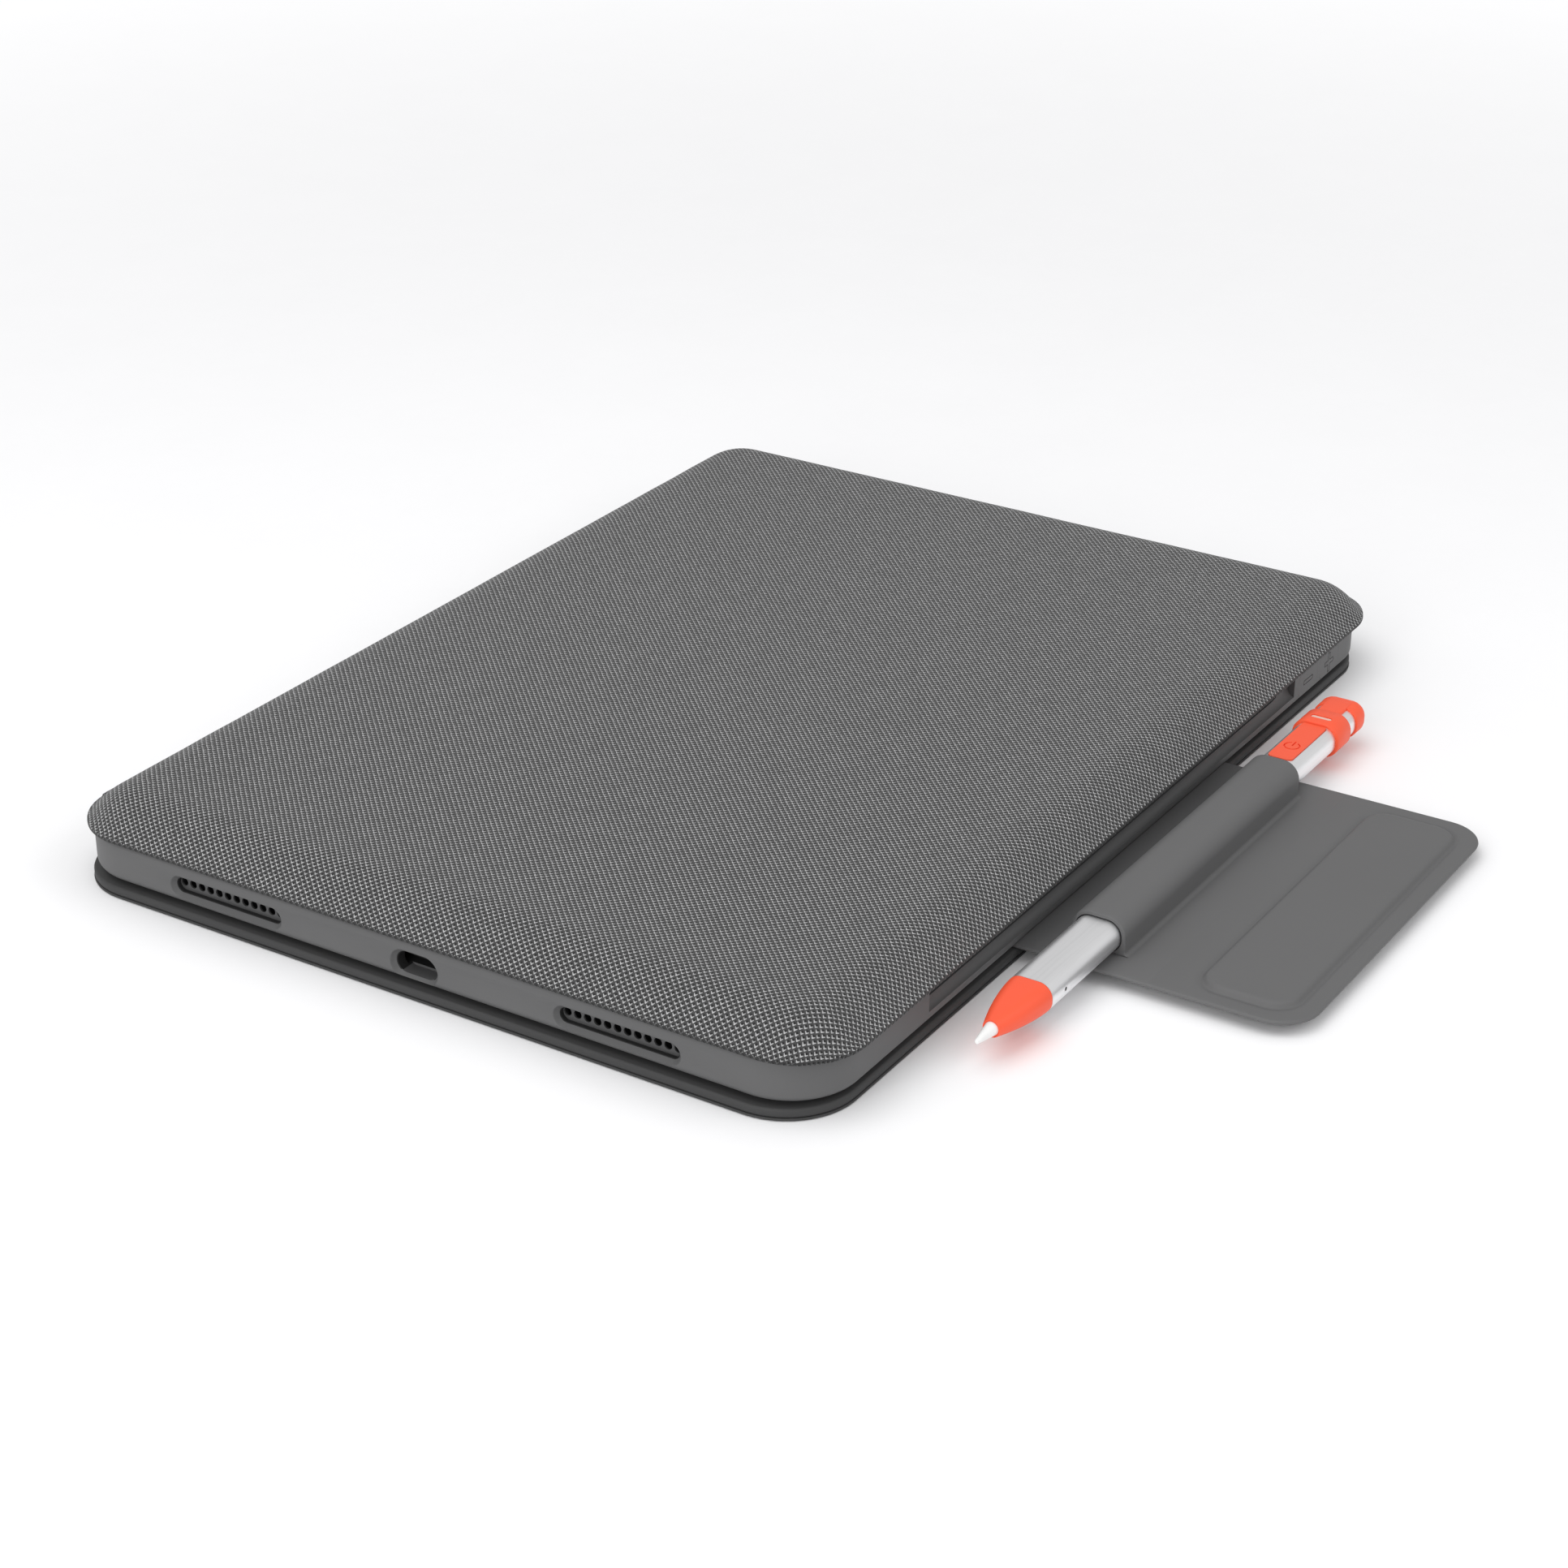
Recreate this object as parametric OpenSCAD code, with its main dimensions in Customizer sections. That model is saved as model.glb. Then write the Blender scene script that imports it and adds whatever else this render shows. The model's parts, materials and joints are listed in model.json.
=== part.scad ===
/* [Tablet] */
// Length of the tablet that the holder takes
tablet_l = 247.6; // [206:0.1:300]
// Width of the tablet
tablet_w = 178.5; // [148:0.1:215]
// Thickness of the tablet
tablet_t = 5.9; // [4.9:0.1:7.2]
// Gap between the tablet and the holder's wall
tablet_gap = 0.3; // [0.1:0.05:0.6]

/* [Holder] */
// Wall of the holder at the two short sides
holder_wall_x = 3.5; // [2.4:0.1:4.2]
// Wall of the holder at the flap side
holder_wall_front = 4.4; // [3:0.1:5.3]
// Wall of the holder at the spine side
holder_wall_rear = 3.4; // [2.4:0.1:4]
// Base plate under the tablet
holder_base_t = 1.4; // [1:0.1:1.8]
// Rim over the glass
lip_t = 1.2; // [0.8:0.1:1.6]
// How far the rim reaches over the glass
lip_reach = 1.3; // [0.6:0.1:2]
// How far the outer wall rounds in at its foot
foot_inset = 1.3; // [0.5:0.1:3]
// Outer corner radius of the holder
holder_corner_r = 15; // [10:0.5:20]

/* [Back panel] */
// How far the back panel reaches past the holder at the short sides
panel_margin_x = 0.9; // [0.4:0.1:2]
// Corner radius of the back panel
corner_r = 15.5; // [10:0.5:20]
// Outer woven skin
skin_t = 0.5; // [0.3:0.1:0.8]
// Stiff boards between the skins
board_t = 1.4; // [1:0.1:2]
// Smooth inner skin
lining_t = 0.6; // [0.3:0.1:1]
// Bend between the two boards
crease_w = 7; // [4:0.5:12]
// Side of the square camera opening
camera_cut = 29; // [20:0.5:36]

/* [Front cover] */
// Air between the holder's rim and the closed cover
cover_gap = 0.3; // [0.25:0.05:0.6]
// Height of the padded cover
cover_h = 7.2; // [6.9:0.1:9]
// Thickness of the cover's woven skin
fabric_t = 0.7; // [0.5:0.1:0.9]
// Height of the thin brim around the padding
brim_h = 1.1; // [0.9:0.1:1.3]
// Width of the steep part of the soft shoulder
shoulder_w = 8; // [6:0.5:9]
// Width over which the top crowns
crown_w = 22; // [14:1:24]
// How far the cover overhangs the holder at the flap side
overhang_front = 2.3; // [1:0.1:3]
// Plate that the keys come through
deck_t = 1; // [0.8:0.1:1.2]

/* [Keys] */
// Row pitch
row_pitch = 15.8; // [13.1:0.1:16.5]
// Gap between neighbouring keys
key_gap = 2.2; // [1.8:0.1:3]
// Height of a keycap
key_h = 1.9; // [1.4:0.1:2.1]
// Key travel
key_travel = 1; // [0.8:0.1:1.1]
// Gap around a key in the deck
well_gap = 0.4; // [0.3:0.05:0.6]

/* [Flap] */
// Length of the flap along the case
flap_l = 98.4; // [82:0.1:118]
// Offset of the flap's middle from the middle of the case
flap_x = -0.8; // [-10:0.1:10]
// Sheet of the flap
flap_t = 1; // [0.8:0.1:1.2]
// Length of the tab past its groove
tab_reach = 27.2; // [22:0.1:33]
// Corner radius of the tab
tab_r = 9; // [5:0.5:12]
// Length of the pen sleeve
sleeve_l = 84; // [70:0.5:90]
// Sheet of the pen sleeve
sleeve_t = 0.8; // [0.6:0.1:1]

/* [Stylus] */
// Width of the stylus body
pen_w = 10; // [8.3:0.1:12]
// Height of the stylus body
pen_h = 6.8; // [5.8:0.1:8]
// Corner radius of the stylus body
pen_r = 3.1; // [2:0.1:3.3]
// Length of the stylus from tip to cap
pen_l = 173.5; // [150:0.5:200]
// Gap between the stylus and its sleeve
pen_gap = 0.25; // [0.15:0.05:0.4]

/* [Hidden] */
$fn = 64;
tiny = 0.01;
sheet_gap = 0.3;

// Back panel and holder
panel_t = skin_t + board_t + lining_t;
holder_l = tablet_l + 2 * (tablet_gap + holder_wall_x);
holder_y0 = -tablet_w / 2 - tablet_gap - holder_wall_front;
holder_y1 = tablet_w / 2 + tablet_gap + holder_wall_rear;
holder_z = panel_t + flap_t + 0.1;
bay_z = holder_z + holder_base_t;
liner_t = 0.3;
rim_z = bay_z + liner_t + tablet_t + 0.1;
holder_top = rim_z + lip_t;
body_l = holder_l + 2 * panel_margin_x;
panel_y0 = holder_y0 + 0.2;
panel_y1 = holder_y1 + 0.9;
tablet_r = 11;

// Front cover
cover_z = holder_top + cover_gap;
cover_y0 = holder_y0 - overhang_front;
cover_y1 = panel_y1 + 0.3;
cover_x = body_l / 2 + 0.1;
cover_top = cover_z + cover_h;

// Spine
spine_t = 1.6;
fold_r = 1.6;
hinge_y = panel_y1 + 0.85;
hinge_low_z = panel_t / 2;
hinge_top_z = cover_z + 1.1;
spine_y = hinge_y - 0.5;
spine_z0 = hinge_low_z + fold_r;
spine_z1 = hinge_top_z - fold_r;
spine_l = body_l - 2 * corner_r;

// Key field, from the left of the typist (+X) to the right (-X)
deck_inset = 4.2;
field_front = 14.5;
field_side = 16;
field_l = 2 * (cover_x - field_side);
field_units = 14.5;
unit = field_l / field_units;
field_y0 = cover_y0 + field_front;
fn_depth = 8;
key_r = 1.6;
field_y1 = field_y0 + 5 * row_pitch + fn_depth;
key_z = cover_z + 0.15;
key_plate_z = key_z + key_h + key_travel + 0.25;
key_plate_t = 0.5;
light_t = 0.3;
tray_wall = 0.8;
tray_top = key_plate_z + light_t + key_plate_t + 0.1 + tray_wall;
rear_y0 = field_y1 + 9;
rear_y1 = cover_y1 - 16;

// Flap, laid open level with the back panel
flap_z = panel_t;
flap_top = flap_z + flap_t;
flap_x0 = flap_x - flap_l / 2;
root_w = 13;
root_fold_y = panel_y0 - 3.4;
pen_y = panel_y0 - 14.4;
pen_z = flap_top + 0.1 + pen_gap + pen_h / 2;
sleeve_in = pen_y + pen_w / 2 + pen_gap;
sleeve_out = pen_y - pen_w / 2 - pen_gap - sleeve_t;
wrap_fold_y = sleeve_out - 2.2;
tab_fold_y = panel_y0 - 35.4;
free_y = tab_fold_y - tab_reach;
pad_h = 0.6;

// Stylus, lying along X with its tip at -X
pen_tip_x = -93;
tip_l = 8;
nose_x = pen_tip_x + 21.5;
barrel_x1 = pen_tip_x + pen_l - 3;
button_x0 = pen_tip_x + pen_l - 37.5;
ring_x0 = pen_tip_x + pen_l - 17.7;
ring_w = 7.3;
cap_x0 = pen_tip_x + pen_l - 6.5;

// Flat shapes
module rrect(x0, x1, y0, y1, r) {
    translate([x0 + r, y0]) square([x1 - x0 - 2 * r, y1 - y0]);
    translate([x0, y0 + r]) square([x1 - x0, y1 - y0 - 2 * r]);
    for (x = [x0 + r, x1 - r], y = [y0 + r, y1 - r]) translate([x, y]) circle(r);
}

module slab(x0, x1, y0, y1, r, z, t) {
    translate([0, 0, z]) linear_extrude(t) rrect(x0, x1, y0, y1, r);
}

module block(x0, x1, y0, y1, z0, z1) {
    translate([x0, y0, z0]) cube([x1 - x0, y1 - y0, z1 - z0]);
}

module pill(x0, x1, y0, y1) {
    r = min(x1 - x0, y1 - y0) / 2;
    rrect(x0, x1, y0, y1, r - tiny);
}

// Rings of points around a rounded rectangle, and the skin between them
steps = 10;

function ring_xy(x0, x1, y0, y1, r) = [
    for (c = [[x1 - r, y0 + r, -90], [x1 - r, y1 - r, 0], [x0 + r, y1 - r, 90], [x0 + r, y0 + r, 180]])
        for (i = [0 : steps])
            [c[0] + r * cos(c[2] + 90 * i / steps), c[1] + r * sin(c[2] + 90 * i / steps)]
];

function at_z(ring, z) = [for (p = ring) [p[0], p[1], z]];

module loft(rings) {
    n = len(rings[0]);
    last = len(rings) - 1;
    points = [for (ring = rings) for (p = ring) p];
    sides = [
        for (i = [0 : last - 1]) for (j = [0 : n - 1])
            [i * n + j, (i + 1) * n + j, (i + 1) * n + (j + 1) % n, i * n + (j + 1) % n]
    ];
    bottom = [for (j = [0 : n - 1]) j];
    top = [for (j = [n - 1 : -1 : 0]) last * n + j];
    polyhedron(points, concat([bottom], sides, [top]), convexity = 6);
}

// Outline and height of the padded cover, d being the distance in from its edge
function smooth(t) = let (u = max(0, min(1, t))) u * u * (3 - 2 * u);
function cover_rise(d) = brim_h + (cover_h - brim_h)
    * (0.82 * smooth((d + 0.6) / shoulder_w) + 0.18 * smooth(d / crown_w));

function cover_ring(d, z) = at_z(ring_xy(-cover_x + d, cover_x - d, cover_y0 + d, cover_y1 - d,
    max(corner_r - 0.6 * d, 4)), z);

// ---- Back panel ----

camera_x = tablet_l / 2 - 4.5 - camera_cut / 2;
camera_y = -tablet_w / 2 + 4.5 + camera_cut / 2;
camera_r = 7;

module camera_cutter(grow) {
    h = camera_cut / 2 + grow;
    slab(camera_x - h, camera_x + h, camera_y - h, camera_y + h, camera_r + grow, -1, bay_z + 3);
}

module panel_sheet(inset, z, t) {
    slab(-body_l / 2 + inset, body_l / 2 - inset, panel_y0 + inset, panel_y1 - inset,
        corner_r - inset, z, t);
}

module back_fabric() {
    color([0.30, 0.30, 0.31]) difference() {
        panel_sheet(0, 0, skin_t);
        camera_cutter(0.8);
    }
}

module back_board_front() {
    color([0.75, 0.72, 0.66]) difference() {
        panel_sheet(1.2, skin_t, board_t);
        block(-body_l, body_l, -crease_w / 2, body_l, -1, 9);
        camera_cutter(0.8);
    }
}

module back_board_rear() {
    color([0.75, 0.72, 0.66]) difference() {
        panel_sheet(1.2, skin_t, board_t);
        block(-body_l, body_l, -body_l, crease_w / 2, -1, 9);
    }
}

module crease_strip() {
    color([0.22, 0.22, 0.23])
        block(-body_l / 2 + 1.2, body_l / 2 - 1.2, -crease_w / 2, crease_w / 2, skin_t, skin_t + board_t);
}

module back_lining() {
    color([0.24, 0.24, 0.25]) difference() {
        union() {
            panel_sheet(0, skin_t + board_t, lining_t);
            difference() {
                panel_sheet(0, skin_t, board_t);
                panel_sheet(1.2, skin_t - 1, board_t + 2);
            }
        }
        camera_cutter(0.8);
    }
}

module mount_pad() {
    edge = 6;
    color([0.12, 0.12, 0.12]) difference() {
        slab(-holder_l / 2 + edge, holder_l / 2 - edge, holder_y0 + edge, -crease_w / 2 - 2, 6,
            panel_t, holder_z - panel_t);
        block(flap_x0 - 1, flap_x0 + flap_l + 1, holder_y0, panel_y0 + root_w + 1, 0, 9);
        camera_cutter(2);
    }
}

module camera_ring() {
    h = camera_cut / 2;
    color([0.15, 0.15, 0.16]) difference() {
        slab(camera_x - h - 0.8, camera_x + h + 0.8, camera_y - h - 0.8, camera_y + h + 0.8,
            camera_r + 0.8, 0.1, bay_z - 0.1);
        slab(camera_x - h, camera_x + h, camera_y - h, camera_y + h, camera_r, -1, bay_z + 3);
    }
}

// ---- Holder ----

slot_l = 28.6;
slot_y = 48.9;
slot_h = 3.9;
slot_z = holder_z + 3.65;
port_w = 11.4;
port_h = 6.2;
port_z = holder_z + 3.3;
window_x0 = -tablet_l / 2 + 37.6;
window_x1 = tablet_l / 2 - 40.8;
window_z = holder_z + 4.1;
pad_z0 = holder_z + 1;
pad_z1 = holder_z + 6.6;
pad_gap = 0.2;
volume_down_x = tablet_l / 2 - 33;
volume_up_x = tablet_l / 2 - 21.2;
volume_pad_l = 10.6;
power_y = -tablet_w / 2 + 18;
power_pad_l = 12;

function holder_ring(d, z) = at_z(ring_xy(-holder_l / 2 + d, holder_l / 2 - d,
    holder_y0 + d, holder_y1 - d, holder_corner_r - d), z);

// Shape of an opening through a short side, as wide as w and as high as h
module side_hole(y, z, w, h, x0, x1) {
    translate([x0, 0, 0]) rotate([90, 0, 90]) linear_extrude(x1 - x0)
        pill(y - w / 2, y + w / 2, z - h / 2, z + h / 2);
}

// Space that a pad of the front wall moves in
module front_pad_space(x, grow) {
    translate([0, holder_y0 + holder_wall_front + 1, 0]) rotate([90, 0, 0])
        linear_extrude(holder_wall_front + 3)
            rrect(x - volume_pad_l / 2 - grow, x + volume_pad_l / 2 + grow,
                pad_z0 - grow, pad_z1 + grow, 1.6);
}

module power_pad_space(grow) {
    x0 = tablet_l / 2 + tablet_gap - 1;
    translate([x0, 0, 0]) rotate([90, 0, 90]) linear_extrude(holder_wall_x + 3)
        rrect(power_y - power_pad_l / 2 - grow, power_y + power_pad_l / 2 + grow,
            pad_z0 - grow, pad_z1 + grow, 1.6);
}

module holder_solid(d) {
    loft([
        holder_ring(foot_inset + d, holder_z),
        for (i = [1 : 5]) holder_ring(foot_inset * (1 - sin(18 * i)) + d,
            holder_z + foot_inset * 1.3 * (1 - cos(18 * i))),
        holder_ring(d, holder_top - 1.2),
        holder_ring(d + 0.15, holder_top - 0.4),
        holder_ring(d + 0.6, holder_top)
    ]);
}

module bay_space() {
    slab(-tablet_l / 2 - tablet_gap, tablet_l / 2 + tablet_gap,
        -tablet_w / 2 - tablet_gap, tablet_w / 2 + tablet_gap, tablet_r, bay_z, rim_z - bay_z);
    slab(-tablet_l / 2 + lip_reach, tablet_l / 2 - lip_reach,
        -tablet_w / 2 + lip_reach, tablet_w / 2 - lip_reach, tablet_r - 2, bay_z, lip_t + 20);
}

// Long scoop that leaves the tablet's side open for a magnetic stylus
module window_space() {
    r = 5;
    translate([0, -tablet_w / 2 + lip_reach + 1, 0]) rotate([90, 0, 0]) linear_extrude(20) union() {
        translate([window_x0, window_z]) square([window_x1 - window_x0 - r, 20]);
        translate([window_x0, window_z + r]) square([window_x1 - window_x0, 20]);
        translate([window_x1 - r, window_z + r]) circle(r);
    }
    scoop = 2.4;
    translate([window_x0, holder_y0 - 0.6, window_z + 0.6]) rotate([0, 90, 0])
        cylinder(r = scoop, h = window_x1 - window_x0);
}

module holder_frame() {
    x0 = -holder_l / 2 - 1;
    x1 = -tablet_l / 2 + 1;
    color([0.40, 0.40, 0.41]) difference() {
        holder_solid(0);
        bay_space();
        window_space();
        for (y = [-slot_y, slot_y]) {
            side_hole(y, slot_z, slot_l - 2.6, slot_h - 1, x0, x1);
            side_hole(y, slot_z, slot_l, slot_h, x0, -holder_l / 2 + 1.3);
        }
        side_hole(0, port_z, port_w, port_h, x0, x1);
        front_pad_space(volume_down_x, pad_gap);
        front_pad_space(volume_up_x, pad_gap);
        power_pad_space(pad_gap);
        camera_cutter(0.8);
        magnet_slots(0.1);
    }
}

module bay_liner() {
    edge = 3;
    color([0.14, 0.14, 0.15]) difference() {
        slab(-tablet_l / 2 + edge, tablet_l / 2 - edge, -tablet_w / 2 + edge, tablet_w / 2 - edge,
            tablet_r - 3, bay_z, liner_t);
        camera_cutter(2);
    }
}

magnet_l = 30;
magnet_w = 5;
magnet_t = 0.9;

module magnet_slots(grow) {
    y = tablet_w / 2 - 9;
    for (x = [-62, 0, 62]) block(x - magnet_l / 2 - grow, x + magnet_l / 2 + grow,
        y - magnet_w / 2 - grow, y + magnet_w / 2 + grow, holder_z + 0.2, holder_z + 0.2 + magnet_t);
}

module dock_magnets() {
    color([0.62, 0.62, 0.64]) magnet_slots(0);
}

// Minus and plus signs, drawn by a groove around each
mark_l = 5;
mark_w = 1.2;
mark_line = 0.2;
mark_t = 0.2;

module minus_plan(grow) {
    rrect(-mark_l / 2 - grow, mark_l / 2 + grow, -mark_w / 2 - grow, mark_w / 2 + grow, 0.25);
}

module plus_plan(grow) {
    minus_plan(grow);
    rotate(90) minus_plan(grow);
}

// Cuts a flat shape into the face of the front wall
module cut_mark(x) {
    translate([x, holder_y0 + mark_t, (pad_z0 + pad_z1) / 2]) rotate([90, 0, 0])
        linear_extrude(mark_t + 1) children();
}

// Pad of the front wall, its face flush with the wall
module front_pad(x) {
    y0 = holder_y0;
    intersection() {
        front_pad_space(x, 0);
        block(x - 20, x + 20, y0, y0 + holder_wall_front - 0.8, 0, 30);
    }
}

module volume_down_pad() {
    color([0.38, 0.38, 0.39]) difference() {
        front_pad(volume_down_x);
        cut_mark(volume_down_x) difference() {
            minus_plan(0);
            minus_plan(-mark_line);
        }
    }
}

module volume_up_pad() {
    color([0.38, 0.38, 0.39]) difference() {
        front_pad(volume_up_x);
        cut_mark(volume_up_x) difference() {
            plus_plan(0);
            plus_plan(-mark_line);
        }
    }
}

module power_pad() {
    color([0.38, 0.38, 0.39]) intersection() {
        power_pad_space(0);
        block(tablet_l / 2 + tablet_gap + 0.8, holder_l / 2, -body_l, body_l, 0, 30);
    }
}

// ---- Spine ----

module spine_layer(y, t, inset) {
    translate([0, y + t, 0]) rotate([90, 0, 0]) linear_extrude(t)
        rrect(-spine_l / 2 + inset, spine_l / 2 - inset, spine_z0 + inset, spine_z1 - inset, 1);
}

module spine_lining() {
    color([0.24, 0.24, 0.25]) spine_layer(spine_y, 0.4, 0);
}

module spine_board() {
    color([0.75, 0.72, 0.66]) spine_layer(spine_y + 0.4, 0.6, 0.8);
}

module spine_fabric() {
    color([0.30, 0.30, 0.31]) spine_layer(spine_y + 1, spine_t - 1, 0);
}

// ---- Front cover ----

module cover_fabric() {
    d_steps = [0.15, 0.8, 1.6, 2.5, 3.5, 4.5, 5.5, 6.5, 7.5, 9, 11.5, 15, crown_w];
    hem = 0.9;
    color([0.40, 0.40, 0.41]) difference() {
        loft([
            for (i = [len(d_steps) - 1 : -1 : 2])
                cover_ring(d_steps[i] + hem * 0.4, cover_z + cover_rise(d_steps[i]) - fabric_t),
            cover_ring(hem, cover_z + 0.25),
            cover_ring(hem, cover_z),
            cover_ring(0.25, cover_z),
            cover_ring(0, cover_z + 0.25),
            cover_ring(0, cover_z + brim_h - 0.35),
            for (d = d_steps) cover_ring(d, cover_z + cover_rise(d))
        ]);
        block(cover_x - 12, cover_x + 2, port_y - port_bezel_w / 2 - 0.1,
            port_y + port_bezel_w / 2 + 0.1, port_low - 0.1, port_low + port_bezel_h + 0.1);
    }
}

port_y = cover_y1 - 40;
port_bezel_w = 11.6;
port_bezel_h = 2.7;
port_low = cover_z + deck_t + 0.1;
deck_r = 11;
tray_inset = 9.4;

module cover_hem() {
    color([0.22, 0.22, 0.23]) difference() {
        slab(-cover_x + 1.1, cover_x - 1.1, cover_y0 + 1.1, cover_y1 - 1.1, corner_r, cover_z, 0.3);
        slab(-cover_x + deck_inset - 0.1, cover_x - deck_inset + 0.1, cover_y0 + deck_inset - 0.1,
            cover_y1 - deck_inset + 0.1, deck_r, cover_z - 1, 3);
    }
}

module cover_foam() {
    d = crown_w - 1;
    z = tray_top + 0.05;
    color([0.85, 0.85, 0.82])
        slab(-cover_x + d, cover_x - d, cover_y0 + d, cover_y1 - d, 5, z,
            cover_top - fabric_t - z - 0.15);
}

module keyboard_tray() {
    color([0.16, 0.16, 0.17]) difference() {
        loft([
            cover_ring(tray_inset, cover_z + deck_t),
            cover_ring(tray_inset, cover_z + deck_t + 0.6),
            cover_ring(tray_inset + 3.6, tray_top - 0.6),
            cover_ring(tray_inset + 4.6, tray_top)
        ]);
        d = tray_inset + 5.2;
        slab(-cover_x + d, cover_x - d, cover_y0 + d - 0.8, cover_y1 - d, 4, cover_z,
            tray_top - tray_wall - cover_z);
        block(cover_x - 22, cover_x + 2, port_y - port_bezel_w / 2 - 0.1,
            port_y + port_bezel_w / 2 + 0.1, port_low - 0.2, port_low + port_bezel_h + 0.1);
        for (p = screw_places) translate([p[0], p[1], cover_z])
            cylinder(r = screw_r + 0.05, h = deck_t + screw_bite + 0.3);
    }
}

// A well's corners are cut straight, a key's are round
module well_outline(x0, x1, y0, y1, c) {
    polygon([[x0 + c, y0], [x1 - c, y0], [x1, y0 + c], [x1, y1 - c],
        [x1 - c, y1], [x0 + c, y1], [x0, y1 - c], [x0, y0 + c]]);
}

// Keys: x is where a key starts in units from the typist's left, w its width in units
module key_plan(x, w, row, grow, depth, low) {
    xa = field_l / 2 - (x + w) * unit + key_gap / 2 - grow;
    xb = field_l / 2 - x * unit - key_gap / 2 + grow;
    ya = field_y0 + row * row_pitch + low + key_gap / 2 - grow;
    yb = field_y0 + row * row_pitch + low + depth - key_gap / 2 + grow;
    if (grow > 0) well_outline(xa, xb, ya, yb, key_r / 2);
    else rrect(xa, xb, ya, yb, key_r);
}

module key_row(x0, count, w, row, grow) {
    for (i = [0 : count - 1]) key_plan(x0 + i * w, w, row, grow, row_pitch, 0);
}

module function_plan(grow) {
    for (i = [0 : 13]) key_plan(i * field_units / 14, field_units / 14, 5, grow, fn_depth, 0);
}
module number_plan(grow) { key_row(0, 13, 1, 4, grow); }
module backspace_plan(grow) { key_row(13, 1, 1.5, 4, grow); }
module tab_plan(grow) { key_row(0, 1, 1.5, 3, grow); }
module upper_plan(grow) { key_row(1.5, 13, 1, 3, grow); }
module caps_plan(grow) { key_row(0, 1, 1.75, 2, grow); }
module home_plan(grow) { key_row(1.75, 11, 1, 2, grow); }
module return_plan(grow) { key_row(12.75, 1, 1.75, 2, grow); }
module left_shift_plan(grow) { key_row(0, 1, 2.25, 1, grow); }
module lower_plan(grow) { key_row(2.25, 10, 1, 1, grow); }
module right_shift_plan(grow) { key_row(12.25, 1, 2.25, 1, grow); }
module modifier_plan(grow) {
    key_row(0, 3, 1, 0, grow);
    key_row(3, 1, 1.25, 0, grow);
    key_row(9.25, 1, 1.25, 0, grow);
    key_row(10.5, 1, 1, 0, grow);
}
module space_plan(grow) { key_row(4.25, 1, 5, 0, grow); }
module arrow_plan(grow) {
    key_plan(11.5, 1, 0, grow, row_pitch / 2, 0);
    key_plan(12.5, 1, 0, grow, row_pitch / 2, 0);
    key_plan(12.5, 1, 0, grow, row_pitch / 2, row_pitch / 2);
    key_plan(13.5, 1, 0, grow, row_pitch / 2, 0);
}

module caps_of_keys() {
    color([0.20, 0.20, 0.21]) translate([0, 0, key_z]) linear_extrude(key_h) children();
}

module function_keys() { caps_of_keys() function_plan(0); }
module number_keys() { caps_of_keys() number_plan(0); }
module backspace_key() { caps_of_keys() backspace_plan(0); }
module tab_key() { caps_of_keys() tab_plan(0); }
module upper_keys() { caps_of_keys() upper_plan(0); }
module caps_key() { caps_of_keys() caps_plan(0); }
module home_keys() { caps_of_keys() home_plan(0); }
module return_key() { caps_of_keys() return_plan(0); }
module left_shift_key() { caps_of_keys() left_shift_plan(0); }
module lower_keys() { caps_of_keys() lower_plan(0); }
module right_shift_key() { caps_of_keys() right_shift_plan(0); }
module modifier_keys() { caps_of_keys() modifier_plan(0); }
module space_bar() { caps_of_keys() space_plan(0); }
module arrow_keys() { caps_of_keys() arrow_plan(0); }

module all_wells() {
    function_plan(well_gap);
    number_plan(well_gap);
    backspace_plan(well_gap);
    tab_plan(well_gap);
    upper_plan(well_gap);
    caps_plan(well_gap);
    home_plan(well_gap);
    return_plan(well_gap);
    left_shift_plan(well_gap);
    lower_plan(well_gap);
    right_shift_plan(well_gap);
    modifier_plan(well_gap);
    space_plan(well_gap);
    arrow_plan(well_gap);
}

light_x = cover_x - 30;
light_y = field_y1 + 5;
rest_y = rear_y0 + 3;

module keyboard_deck() {
    color([0.23, 0.23, 0.24]) difference() {
        translate([0, 0, cover_z]) linear_extrude(deck_t) difference() {
            rrect(-cover_x + deck_inset, cover_x - deck_inset, cover_y0 + deck_inset,
                cover_y1 - deck_inset, deck_r);
            all_wells();
        }
        translate([light_x, light_y, cover_z - 1]) cylinder(r = 0.8, h = deck_t + 2);
        block(-rest_l / 2 - 0.05, rest_l / 2 + 0.05, rest_y - 0.05, rest_y + rest_w + 0.05,
            cover_z - 1, cover_z + 0.5);
        for (p = screw_places) translate([p[0], p[1], cover_z - 1]) cylinder(r = 1.35, h = deck_t + 2);
    }
}

rest_l = 2 * (cover_x - 30);
rest_w = 4;

module dock_rest() {
    color([0.12, 0.12, 0.12])
        slab(-rest_l / 2, rest_l / 2, rest_y, rest_y + rest_w, 1.6, cover_z - 0.45, 0.95);
}

module key_plate() {
    m = 1.5;
    color([0.55, 0.56, 0.58])
        slab(-field_l / 2 - 0.3, field_l / 2 + 0.3, field_y0 - 0.4, field_y1 + m, 1, key_plate_z + light_t,
            key_plate_t);
}

module backlight_sheet() {
    color([0.9, 0.92, 0.95])
        slab(-field_l / 2, field_l / 2, field_y0, field_y1 + 1, 1, key_plate_z, light_t);
}

part_z = cover_z + deck_t + 0.2;

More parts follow.
